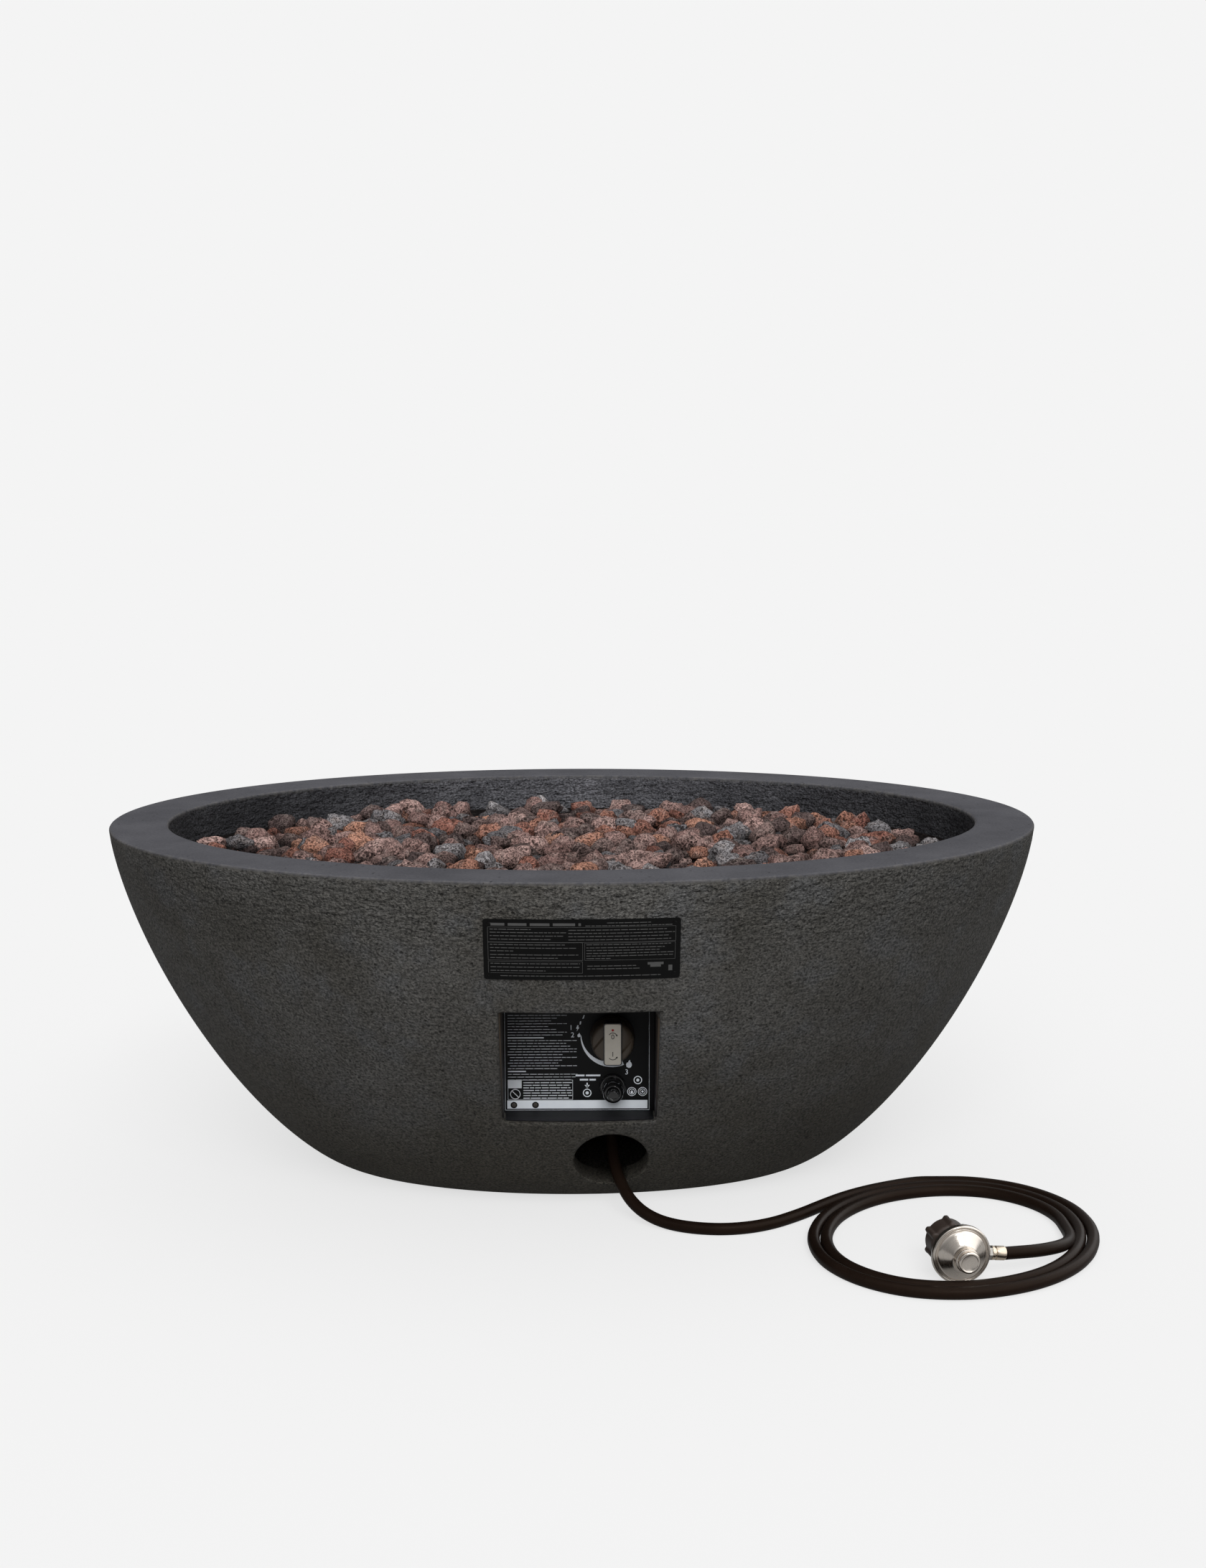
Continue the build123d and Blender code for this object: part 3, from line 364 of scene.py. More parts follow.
def coil_points():
    """Points round the coil: each quarter turn has its own radius and centre."""
    x, y = COIL_START.xy
    points = []
    angle = math.pi / 2
    step = math.pi / 2 / COIL_POINTS
    for quarter in range(COIL_QUARTERS):
        radius = (COIL_LARGE if quarter % 2 else COIL_SMALL) - COIL_STEP * (quarter // 2)
        centre_x, centre_y = x - radius * math.cos(angle), y - radius * math.sin(angle)
        outside = radius / math.cos(step / 2)
        for index in range(COIL_POINTS):
            turn = angle - (index + 0.5) * step
            place_x = squeezed(centre_x + outside * math.cos(turn))
            points.append((place_x, centre_y + outside * math.sin(turn), HOSE_HEIGHT))
        angle -= math.pi / 2
        x, y = centre_x + radius * math.cos(angle), centre_y + radius * math.sin(angle)
    return points, (squeezed(x), y)


def tail_points(x, y):
    """Points from the coil's end up to the sleeve at the regulator."""
    return [(x + dx * MM, y + dy * MM, HOSE_HEIGHT + dz * MM) for dx, dy, dz in TAIL_STEPS]


turns, coil_end = coil_points()
hose_points = DROP_POINTS + [(x, y, HOSE_HEIGHT) for x, y in GROUND_POINTS] + turns + tail_points(*coil_end)


def smooth_line(name, points, radius, material):
    """Round cord on a NURBS curve that has the points as its control points."""
    curve = bpy.data.curves.new(name, "CURVE")
    curve.dimensions = "3D"
    curve.bevel_depth = radius
    curve.bevel_resolution = 7
    curve.resolution_u = 10
    curve.use_fill_caps = True
    spline = curve.splines.new("NURBS")
    spline.points.add(len(points) - 1)
    for point, place in zip(spline.points, points):
        point.co = (*place, 1.0)
    spline.order_u = 3
    spline.use_endpoint_u = True
    curve.materials.append(material)
    line = add_object(name, curve)
    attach(line, "base")
    return line


def rubber_finish():
    """Black-brown rubber with a dull sheen and faint dust."""
    material, tree, shader, where = new_finish("Hose rubber", Roughness=0.4, Specular_IOR_Level=0.1,
                                               Specular_Tint=paint(255, 232, 212))
    colour, mask = mottle(tree, where, 25, 0.3, paint(24, 16, 12), paint(34, 25, 20))
    tree.links.new(colour, shader.inputs["Base Color"])
    tree.links.new(spread(tree, mask, 0, 1, 0.3, 0.42), shader.inputs["Roughness"])
    join_bump(tree, shader, grain(tree, where, 500, 3, 0.5), 0.0002, 0.35)
    return material


HOSE_RUBBER = rubber_finish()
hose = smooth_line("gas_hose", hose_points, HOSE_RADIUS, HOSE_RUBBER)
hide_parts("hose_lead", "hose_coil", "hose_tail")
print("hose", len(hose_points), "points")

# %% [markdown]
# ## The cast bowl
# The bowl is cast in fibre cement: a flared wall whose curve steepens towards the rim, a flat
# rim with soft edges, and a well with a ledge for the burner pan. Its cut is the same all the
# way round, so one oval ring of edges is pulled through the whole cut, ring by ring, each one
# scaled to the oval of its level. That gives even faces, on which the light runs smoothly. Part
# of the photograph's shading, darker towards both ends, is put into the concrete's colour.

# %% Measures of the bowl
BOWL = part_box("bowl_shell")
HALF_LENGTH = 0.6096
HALF_WIDTH = 0.4572
RIM_HEIGHT = 0.470
RIM_WIDTH = 0.0762
RIM_THICKNESS = 0.024
FOOT_INSET = 0.302
FLARE_POWER = 1.42
WALL = 0.022
FLOOR = 0.024
WELL_WALL = 0.020
LEDGE_WIDTH = 0.028
LEDGE_HEIGHT = 0.412
LEDGE_THICKNESS = 0.018
EDGE_RADIUS = 0.0045
OVAL_STEPS = 320
WALL_STEPS = 46
print("bowl from CAD", [round(value, 4) for value in BOWL[0]], [round(value, 4) for value in BOWL[1]])


def flare(share):
    """How far the wall stands inside the rim at a share of its height."""
    return FOOT_INSET * (1 - (1 - (1 - share) ** FLARE_POWER) ** (1 / FLARE_POWER))


def wall_front(x, z, outwards=0.0):
    """Y of the wall's front face at x and z, or of a skin that lies outwards on it."""
    inset = flare(z / RIM_HEIGHT) - outwards
    return -(HALF_WIDTH - inset) * math.sqrt(1 - (x / (HALF_LENGTH - inset)) ** 2)


def bowl_cut():
    """The cut through the bowl as (inset, height) pairs, from the foot round to its floor."""
    cut = []
    top = 1 - EDGE_RADIUS / RIM_HEIGHT
    for step in range(WALL_STEPS + 1):
        share = top * (step / WALL_STEPS) ** 1.5
        cut.append((flare(share), share * RIM_HEIGHT))
    for step in range(1, 5):
        turn = step * math.pi / 8
        cut.append((EDGE_RADIUS * (1 - math.cos(turn)), RIM_HEIGHT - EDGE_RADIUS * (1 - math.sin(turn))))
    for step in range(1, 7):
        cut.append((EDGE_RADIUS + (RIM_WIDTH - 2 * EDGE_RADIUS) * step / 6, RIM_HEIGHT))
    for step in range(1, 5):
        turn = step * math.pi / 8
        inset = RIM_WIDTH - EDGE_RADIUS * (1 - math.sin(turn))
        cut.append((inset, RIM_HEIGHT - EDGE_RADIUS * (1 - math.cos(turn))))
    well_top = RIM_HEIGHT - EDGE_RADIUS
    for step in range(1, 6):
        cut.append((RIM_WIDTH, well_top - (well_top - LEDGE_HEIGHT) * step / 5))
    cut.append((RIM_WIDTH + LEDGE_WIDTH, LEDGE_HEIGHT))
    cut.append((RIM_WIDTH + LEDGE_WIDTH, LEDGE_HEIGHT - LEDGE_THICKNESS))
    cut.append((RIM_WIDTH - WELL_WALL, LEDGE_HEIGHT - LEDGE_THICKNESS))
    cut.append((RIM_WIDTH - WELL_WALL, RIM_HEIGHT - RIM_THICKNESS))
    inner_height = RIM_HEIGHT - FLOOR
    for step in range(24):
        share = (1 - RIM_THICKNESS / inner_height) * (1 - step / 24) ** 1.3
        cut.append((flare(share) + WALL, FLOOR + share * inner_height))
    cut.append((flare(0) + WALL, FLOOR))
    return cut


def pull_rings(bm, cut):
    """Pulls an oval ring of edges through a cut and closes both ends."""
    def half_axes(inset):
        return HALF_LENGTH - inset, HALF_WIDTH - inset
    ring = bmesh.ops.create_circle(bm, segments=OVAL_STEPS, radius=1.0)["verts"]
    edges = list({edge for vert in ring for edge in vert.link_edges})
    size_x, size_y = half_axes(cut[0][0])
    bmesh.ops.scale(bm, vec=(size_x, size_y, 1), verts=ring)
    bmesh.ops.translate(bm, vec=(0, 0, cut[0][1]), verts=ring)
    bmesh.ops.contextual_create(bm, geom=edges)
    for (inset, height), (next_inset, next_height) in zip(cut, cut[1:]):
        made = bmesh.ops.extrude_edge_only(bm, edges=edges)["geom"]
        ring, edges = only(bmesh.types.BMVert, made), only(bmesh.types.BMEdge, made)
        (from_x, from_y), (to_x, to_y) = half_axes(inset), half_axes(next_inset)
        bmesh.ops.scale(bm, vec=(to_x / from_x, to_y / from_y, 1), verts=ring)
        bmesh.ops.translate(bm, vec=(0, 0, next_height - height), verts=ring)
    bmesh.ops.contextual_create(bm, geom=edges)


def beyond_window(point, sides):
    """How far a point lies outside a window, and in which direction."""
    return max((((point - corner).dot(normal), normal) for corner, normal in sides), key=lambda pair: pair[0])


def roll_edge(bm, sides, rim):
    """Rounds a window's outer edge: spreads the wall round it and leads its rim in by a quarter turn."""
    start = {vert: vert.co.copy() for edge in rim for vert in edge.verts}
    for vert in bm.verts:
        on_wall = vert.co.y < -0.1 and abs(vert.co.x) < 0.3 and 0 < vert.co.z < 0.4
        if on_wall and abs(vert.co.y - wall_front(vert.co.x, vert.co.z)) < 5e-4:
            beyond, normal = beyond_window(vert.co, sides)
            if beyond < ROLL_REACH:
                vert.co += normal * WINDOW_ROLL * (1 - max(0.0, beyond) / ROLL_REACH)
                vert.co.y = wall_front(vert.co.x, vert.co.z)
    edges = list(rim)
    for step in range(1, ROLL_STEPS + 1):
        made = bmesh.ops.extrude_edge_only(bm, edges=edges)["geom"]
        edges = only(bmesh.types.BMEdge, made)
        turn = step / ROLL_STEPS * math.pi / 2
        led = {}
        for vert in only(bmesh.types.BMVert, made):
            before = next(edge.other_vert(vert) for edge in vert.link_edges if edge.other_vert(vert) in start)
            place = start[before]
            normal = beyond_window(place, sides)[1]
            vert.co = place + normal * WINDOW_ROLL * (1 - math.sin(turn))
            vert.co.y = wall_front(vert.co.x, vert.co.z) + WINDOW_ROLL * (1 - math.cos(turn))
            led[vert] = place
        start = led
    return edges


def open_window(bm, sides, region):
    """Cuts a window through both faces of the wall: sides are (point, outward normal) pairs."""
    inner = [face for face in bm.faces if region(face.calc_center_median())]
    for point, normal in sides:
        around = {item for face in inner for item in (*face.verts, *face.edges, face)}
        cut = bmesh.ops.bisect_plane(bm, geom=list(around), dist=1e-6, plane_co=point, plane_no=normal)
        faces = only(bmesh.types.BMFace, cut["geom"])
        inner = [face for face in faces if (face.calc_center_median() - point).dot(normal) < 0]
    bmesh.ops.delete(bm, geom=inner, context="FACES")
    rims = [edge for edge in bm.edges if edge.is_boundary]
    front = []
    for edge in rims:
        middle = (edge.verts[0].co + edge.verts[1].co) / 2
        if abs(middle.y - wall_front(middle.x, middle.z)) < 2e-3:
            front.append(edge)
    back = [edge for edge in rims if edge not in front]
    bmesh.ops.bridge_loops(bm, edges=back + roll_edge(bm, sides, front))
    return len(front), len(back)


WINDOW_ROLL = 0.0032
ROLL_REACH = 0.02
ROLL_STEPS = 4
RECESS_LOW = Vector((-0.0842, 0, 0.147))
RECESS_HIGH = Vector((0.1018, 0, 0.3075))
RECESS_CORNER = 0.008
HOSE_HOLE = Vector((0.0475, 0, 0.0815))
HOSE_HOLE_RADIUS = 0.046
HOLE_SIDES = 40


def recess_sides():
    """The four sides of the control recess, and short sides that round its two lower corners."""
    sides = [(RECESS_LOW, Vector((-1, 0, 0))), (RECESS_HIGH, Vector((1, 0, 0))),
             (RECESS_LOW, Vector((0, 0, -1))), (RECESS_HIGH, Vector((0, 0, 1)))]
    for centre_x, first in ((RECESS_LOW.x + RECESS_CORNER, 180), (RECESS_HIGH.x - RECESS_CORNER, 270)):
        for step in range(1, 6):
            turn = math.radians(first + step * 15)
            normal = Vector((math.cos(turn), 0, math.sin(turn)))
            centre = Vector((centre_x, 0, RECESS_LOW.z + RECESS_CORNER))
            sides.append((centre + RECESS_CORNER * normal, normal))
    return sides


def hole_sides():
    """The round hose hole as many short sides."""
    sides = []
    for index in range(HOLE_SIDES):
        turn = index * 2 * math.pi / HOLE_SIDES
        normal = Vector((math.cos(turn), 0, math.sin(turn)))
        sides.append((HOSE_HOLE + HOSE_HOLE_RADIUS * normal, normal))
    return sides


def near_recess(point):
    """True for faces of the front wall round the recess."""
    return -0.11 < point.x < 0.13 and 0.115 < point.z < 0.335 and point.y < -0.2


def near_hole(point):
    """True for faces of the front wall round the hose hole."""
    return abs(point.x - HOSE_HOLE.x) < 0.056 and 0.026 < point.z < 0.137 and point.y < -0.12


# %% Build the bowl
def in_well(tree, parts):
    """Mask of what faces the well: one inside the oval of the rim's inner edge, below the rim."""
    across = work_out(tree, "DIVIDE", parts.outputs["X"], HALF_LENGTH - RIM_WIDTH)
    deep = work_out(tree, "DIVIDE", parts.outputs["Y"], HALF_WIDTH - RIM_WIDTH)
    reach = plus(tree, times(tree, across, across), times(tree, deep, deep))
    near = spread(tree, reach, 1.03, 1.012)
    return times(tree, near, spread(tree, parts.outputs["Z"], 0.38, 0.39))


def concrete_finish():
    """Cast fibre cement: cool and smooth on the rim, warm, speckled and pitted on the wall."""
    material, tree, shader, where = new_finish("Cast concrete", Roughness=0.75, Specular_IOR_Level=0.18)
    parts = put(tree, "SeparateXYZ", {"Vector": where})
    height = parts.outputs["Z"]
    on_top = spread(tree, height, RIM_HEIGHT - 0.0045, RIM_HEIGHT - 0.0015)
    well = in_well(tree, parts)

    side, clouds = mottle(tree, where, 6.5, 0.17, paint(72, 70, 66), paint(91, 90, 88))
    stain, stained = mottle(tree, where, 17, 0.12, paint(79, 74, 66), paint(92, 93, 95))
    side = blend_colours(tree, times(tree, stained, 0.45), side, stain)
    # Darker, warmer colour towards the foot: partly painted shade where the flared wall faces down, partly a
    # warmer tone of the concrete.
    low_side, _ = mottle(tree, where, 11, 0.2, paint(66, 63, 56), paint(81, 78, 71))
    level = plus(tree, height, times(tree, clouds, 0.07))
    side = blend_colours(tree, spread(tree, level, 0.07, 0.27), low_side, side)
    top, _ = mottle(tree, where, 12, 0.2, paint(76, 76, 81), paint(93, 93, 98))
    inside, _ = mottle(tree, where, 16, 0.2, paint(69, 69, 73), paint(94, 94, 98))
    # Painted light: the side wall is painted lighter in its front middle and higher up, and darker towards
    # both ends, where the front light falls less.
    across = work_out(tree, "ABSOLUTE", parts.outputs["X"], 0.0)
    painted_front_light = spread(tree, height, 0.2, 0.43, 0.12, 0.48)
    side_tone = plus(tree, 0.86, times(tree, spread(tree, across, 0.5, 0.05), painted_front_light))
    # Painted shade and light: the well's inside is painted darker towards both ends, where the rim shades it,
    # and lighter in the middle.
    well_painted_shade = spread(tree, across, 0.45, 0.0, 0.5, 1.62)
    side = tint(tree, side, side_tone)
    inside = tint(tree, inside, well_painted_shade)
    colour = blend_colours(tree, on_top, blend_colours(tree, well, side, inside), top)

    speckle = noise_value(tree, where, 330.0, 3.0, 0.65)
    contrast = spread(tree, on_top, 0.0, 1.0, 0.7, 0.16)
    lightness = plus(tree, 1.0, times(tree, spread(tree, speckle, 0.32, 0.68, -1, 1), contrast))
    colour = tint(tree, colour, lightness)
    dark_pits = pits(tree, where, 125, 0.27, 0.24)
    # The pits are painted dark: painted shade inside them.
    colour = blend_colours(tree, times(tree, dark_pits, 0.6), colour, paint(28, 26, 23))
    pale_specks = pits(tree, where, 170, 0.2, 0.12)
    colour = blend_colours(tree, times(tree, pale_specks, 0.5), colour, paint(146, 144, 140))
    # A paler band along the rim's edges, broken into patches.
    edge_band = times(tree, spread(tree, height, RIM_HEIGHT - 0.0075, RIM_HEIGHT - 0.0035),
                      spread(tree, height, RIM_HEIGHT - 0.0002, RIM_HEIGHT - 0.0012))
    edge_patches = spread(tree, noise_value(tree, where, 130.0, 6.0), 0.36, 0.7)
    pale_edge_band = times(tree, times(tree, edge_band, edge_patches), 0.34)
    colour = blend_colours(tree, pale_edge_band, colour, paint(136, 132, 126))
    tree.links.new(colour, shader.inputs["Base Color"])
    tree.links.new(spread(tree, clouds, 0, 1, 0.66, 0.82), shader.inputs["Roughness"])

    upper = times(tree, spread(tree, height, 0.375, 0.425), minus(tree, 1.0, on_top))
    stretched = put(tree, "Mapping", {"Vector": where, "Scale": (1.0, 1.0, 2.0)}).outputs["Vector"]
    coarse = times(tree, grain(tree, stretched, 72, 3, 0.4), spread(tree, upper, 0, 1, 0.5, 2.4))
    surface = plus(tree, coarse, times(tree, speckle, 0.8))
    surface = minus(tree, surface, dark_pits)
    flatness = spread(tree, on_top, 0.0, 1.0, 1.0, 0.3)
    join_bump(tree, shader, times(tree, surface, flatness), 0.0042, 1.0)
    return material


CONCRETE = concrete_finish()
bowl = bmesh.new()
pull_rings(bowl, bowl_cut())
print("recess edges", open_window(bowl, recess_sides(), near_recess))
print("hole edges", open_window(bowl, hole_sides(), near_hole))
bmesh.ops.recalc_face_normals(bowl, faces=bowl.faces[:])
sharpen(bowl, 38)
cast_bowl = finish_piece(bowl, "cast_bowl", CONCRETE)
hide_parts("bowl_shell")

# %% [markdown]
# ## Lava rock
# Lava rock is light, full of holes, and tumbled to blunt lumps of 25 to 60 mm, in rust, mauve,
# grey and near black. Each rock here is a ball that is squashed, flattened on a few sides and
# then roughened with noise, and no two are alike. A number stored on each rock shifts its
# colour, so that one material gives every rock its own tone. What lies low in the gaps is painted
# dark, as painted shade, because the heap is only two layers deep, and its back is painted lighter
# than its front, as painted light. The holes are painted dark too, as painted shade inside them.

# %% Rocks
ROCK_FLOOR = 0.414
ROCK_PITCH = 0.043
ROCK_MARGIN = 0.024
ROCK_ROW = 0.87
ROCK_JITTER = 0.22
ROCK_LIFT = 0.0135
ROCK_SIZE = (0.0164, 0.0264)
ROCK_FLATS = (0.58, 0.88)
ROCK_SQUASH = ((0.95, 1.3), (0.8, 1.05), (0.68, 0.9))
ROCK_LEAN = 0.6
ROCK_LIMIT = 0.4466
ROCK_GAP_SHADE = (0.419, 0.437)
ROCK_SWIRL = 0.005
WELL_LENGTH = HALF_LENGTH - RIM_WIDTH
WELL_WIDTH = HALF_WIDTH - RIM_WIDTH
ROCK_COLOURS = {
    "rust": (paint(138, 94, 83), paint(186, 138, 117)),
    "mauve": (paint(130, 103, 98), paint(184, 153, 146)),
    "grey": (paint(106, 104, 107), paint(164, 160, 162)),
    "dark": (paint(84, 72, 71), paint(136, 114, 109)),
}
ROCK_SHARES = (0.24, 0.38, 0.2, 0.18)


def rock_finish(name, low, high):
    """Porous lava: a tone of its own per rock, clouds of grey and dust, holes of two sizes painted dark as
    shade in them, painted shade low in the gaps and painted light towards the back.
    """
    material, tree, shader, where = new_finish("Lava rock " + name, Roughness=0.93, Specular_IOR_Level=0.15)
    tone = put(tree, "Attribute", attribute_name="tone").outputs["Fac"]
    parts = put(tree, "SeparateXYZ", {"Vector": where}).outputs
    colour = blend_colours(tree, tone, low, high)
    clouds = noise_value(tree, where, 55.0, 5.0, 0.65)
    colour = blend_colours(tree, spread(tree, clouds, 0.5, 0.72, 0.0, 0.6), colour, paint(146, 133, 127))
    colour = blend_colours(tree, spread(tree, clouds, 0.48, 0.3, 0.0, 0.55), colour, paint(58, 46, 44))
    grit = noise_value(tree, where, 420.0, 3.0)
    colour = tint(tree, colour, spread(tree, grit, 0.3, 0.7, 0.5, 1.6))
    swirl = put(tree, "TexNoise", {"Vector": where, "Scale": 160.0, "Detail": 1.0}).outputs["Color"]
    bend = put(tree, "VectorMath", {0: swirl, 1: (ROCK_SWIRL,) * 3, 2: where}, operation="MULTIPLY_ADD")
    bent = bend.outputs["Vector"]
    large = put(tree, "TexVoronoi", {"Vector": bent, "Scale": 165.0}).outputs["Distance"]
    small = put(tree, "TexVoronoi", {"Vector": bent, "Scale": 330.0}).outputs["Distance"]
    porous = spread(tree, noise_value(tree, where, 30.0, 1.0), 0.42, 0.58)
    holes = times(tree, spread(tree, large, 0.42, 0.26), porous)
    small_holes = times(tree, spread(tree, small, 0.4, 0.25), 0.75)
    all_holes = put(tree, "Math", {0: holes, 1: small_holes}, operation="MAXIMUM").outputs[0]
    # The holes are painted dark: painted shade inside the pores.
    colour = blend_colours(tree, times(tree, all_holes, 0.8), colour, paint(30, 22, 20))
    # Painted shade low in the gaps between rocks, and painted light towards the back of the heap.
    lit = times(tree, spread(tree, parts["Z"], *ROCK_GAP_SHADE, 0.16, 1.08),
                spread(tree, parts["Y"], -0.38, 0.38, 0.88, 1.3))
    colour = tint(tree, colour, lit)
    tree.links.new(colour, shader.inputs["Base Color"])
    height = minus(tree, grain(tree, where, 105, 4, 0.6), times(tree, all_holes, 0.8))
    join_bump(tree, shader, height, 0.0048, 1.0)
    return material


def shape_rock(bm, tone_layer, chance, place, size):
    """One rock: a ball, squashed and flattened, roughened, turned and put in its place."""
    ball = bmesh.ops.create_icosphere(bm, subdivisions=3, radius=1.0)["verts"]
    seed = Vector((chance.uniform(-50, 50), chance.uniform(-50, 50), chance.uniform(-50, 50)))
    flats = []
    for _ in range(8):
        normal = Vector([chance.gauss(0, 1) for _ in range(3)]).normalized()
        flats.append((normal, chance.uniform(*ROCK_FLATS)))
    tone = chance.random() ** 1.6
    for vert in ball:
        direction = vert.co.copy()
        lumps = 0.34 * noise.noise(direction * 1.4 + seed) + 0.27 * noise.noise(direction * 3.3 + seed)
        point = direction * (1 + lumps + 0.08 * noise.noise(direction * 7 + seed))
        for normal, reach in flats:
            beyond = point.dot(normal) - reach
            if beyond > 0:
                point -= normal * beyond * 0.86
        point += direction * 0.05 * noise.noise(direction * 13 + seed)
        vert.co = point
        vert[tone_layer] = tone
    squash = Matrix.Diagonal((*[chance.uniform(*span) for span in ROCK_SQUASH], 1))
    tilt = Matrix.Rotation(chance.uniform(-ROCK_LEAN, ROCK_LEAN), 4, "X")
    tilt = tilt @ Matrix.Rotation(chance.uniform(0, 6.28), 4, "Z")
    turn = Matrix.Rotation(chance.uniform(0, 6.28), 4, "Z") @ tilt
    laid = Matrix.Translation(place) @ turn @ squash @ Matrix.Scale(size, 4)
    bmesh.ops.transform(bm, verts=ball, matrix=laid)
    too_high = max(vert.co.z for vert in ball) - ROCK_LIMIT
    if too_high > 0:
        bmesh.ops.translate(bm, vec=(0, 0, -too_high), verts=ball)


def rock_places(chance):
    """Jittered places for the rocks: a full lower layer and a loose upper one."""
    rows = int(WELL_WIDTH / (ROCK_PITCH * ROCK_ROW)) + 1
    columns = int(WELL_LENGTH / ROCK_PITCH) + 1
    for layer, share in ((0, 1.0), (1, 0.5)):
        for row in range(-rows, rows + 1):
            for column in range(-columns, columns + 1):
                aside, deep = [chance.uniform(-ROCK_JITTER, ROCK_JITTER) for _ in range(2)]
                x = (column + 0.5 * ((row + layer) % 2) + aside) * ROCK_PITCH
                y = (row + 0.4 * layer + deep) * ROCK_PITCH * ROCK_ROW
                size = chance.uniform(*ROCK_SIZE) * (0.95 - 0.08 * layer)
                reach = ROCK_MARGIN + 0.3 * size
                inside = (x / (WELL_LENGTH - reach)) ** 2 + (y / (WELL_WIDTH - reach)) ** 2
                if inside < 1 and chance.random() < share:
                    lift = (0.5 + 0.95 * layer) * ROCK_LIFT + chance.uniform(-0.003, 0.004) - 0.006 * inside
                    yield Vector((x, y, ROCK_FLOOR + lift)), size


def pile_rocks():
    """Deals the rocks out to the four colours and makes one piece of each colour."""
    chance = random.Random(11)
    heaps = {}
    for name in ROCK_COLOURS:
        heap = bmesh.new()
        heaps[name] = (heap, heap.verts.layers.float.new("tone"))
    highest = 0
    for place, size in list(rock_places(chance)):
        name = chance.choices(list(ROCK_COLOURS), ROCK_SHARES)[0]
        shape_rock(heaps[name][0], heaps[name][1], chance, place, size)
        highest = max(highest, place.z + size)
    print("rocks reach up to about", round(highest, 3))
    for name, (heap, _) in heaps.items():
        piece = finish_piece(heap, "rocks_" + name, rock_finish(name, *ROCK_COLOURS[name]))
        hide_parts("lava_rocks_" + name)


pile_rocks()

# %% [markdown]
# ## Finishes of the smaller parts
# The rest of the parts keep their CAD shapes or get a finer copy, and need finishes with the
# right gloss: enamelled sheet, zinc-plated and stainless steel, brass, moulded plastic. Their
# grain is far finer than a millimetre, so it shows as a soft change in the highlights.

# %% Finishes for metal, plastic and the rest
CLOUD_SCALE = 60.0
GRAIN_SCALE = 900.0


def plain_finish(name, low, high, roughness, metallic=0.0, bump=0.0001, **settings):
    """A finish with faint clouds in its colour and gloss, and a fine grain."""
    material, tree, shader, where = new_finish(name, Metallic=metallic, **settings)
    colour, mask = mottle(tree, where, CLOUD_SCALE, 0.3, low, high)
    tree.links.new(colour, shader.inputs["Base Color"])
    tree.links.new(spread(tree, mask, 0, 1, roughness - 0.05, roughness + 0.06), shader.inputs["Roughness"])
    join_bump(tree, shader, grain(tree, where, GRAIN_SCALE, 3, 0.5), bump, 0.3)
    return material


FINISHES = {
    "concrete": CONCRETE,
    "hose_rubber": HOSE_RUBBER,
    "black_steel": plain_finish("Black enamel", paint(9, 9, 10), paint(13, 13, 15), 0.45,
                                Specular_IOR_Level=0.25),
    "plate_black": plain_finish("Plate black", paint(12, 12, 12), paint(17, 17, 17), 0.5,
                                Specular_IOR_Level=0.12),
    "rivet_dark": plain_finish("Dark rivet", paint(8, 8, 8), paint(12, 12, 12), 0.42,
                               Specular_IOR_Level=0.15),
    "valve_alloy": plain_finish("Die-cast alloy", paint(168, 164, 158), paint(188, 185, 180), 0.34, 1.0),
    "zinc_steel": plain_finish("Zinc-plated steel", paint(170, 172, 176), paint(196, 196, 196), 0.3, 1.0),
    "knob_plastic": plain_finish("Knob plastic", paint(60, 52, 44), paint(70, 61, 52), 0.33),
    "silver_trim": plain_finish("Satin silver", paint(176, 166, 154), paint(196, 188, 178), 0.36, 0.85),
    "red_mark": plain_finish("Red mark", paint(150, 14, 14), paint(168, 22, 20), 0.35),
    "brass_fitting": plain_finish("Brass", paint(196, 160, 96), paint(212, 180, 120), 0.28, 1.0),
    "igniter_gloss": plain_finish("Igniter gloss", paint(12, 12, 13), paint(17, 17, 18), 0.16,
                                  Coat_Weight=1.0, Coat_Roughness=0.05),
    "battery_skin": plain_finish("Battery skin", paint(60, 62, 70), paint(80, 82, 90), 0.3),
    "stainless": plain_finish("Stainless steel", paint(160, 158, 154), paint(186, 184, 180), 0.32, 1.0),
    "cast_mixer": plain_finish("Cast iron", paint(44, 43, 42), paint(60, 58, 56), 0.7, 0.4, bump=0.0004),
    "white_ceramic": plain_finish("White ceramic", paint(214, 210, 202), paint(228, 225, 218), 0.3),
    "lead_skin": plain_finish("Lead skin", paint(120, 24, 20), paint(136, 32, 26), 0.45),
    "copper": plain_finish("Copper", paint(180, 108, 78), paint(204, 132, 98), 0.3, 1.0),
    "rock_fill": rock_finish("fill", paint(40, 30, 28), paint(70, 50, 44)),
    "seal_rubber": plain_finish("Seal rubber", paint(22, 22, 22), paint(30, 29, 28), 0.6),
    "bright_cover": plain_finish("Bright nickel", paint(206, 200, 194), paint(222, 218, 212), 0.12, 1.0),
    "wheel_plastic": plain_finish("Wheel plastic", paint(54, 45, 41), paint(66, 56, 51), 0.42, bump=0.0003),
}


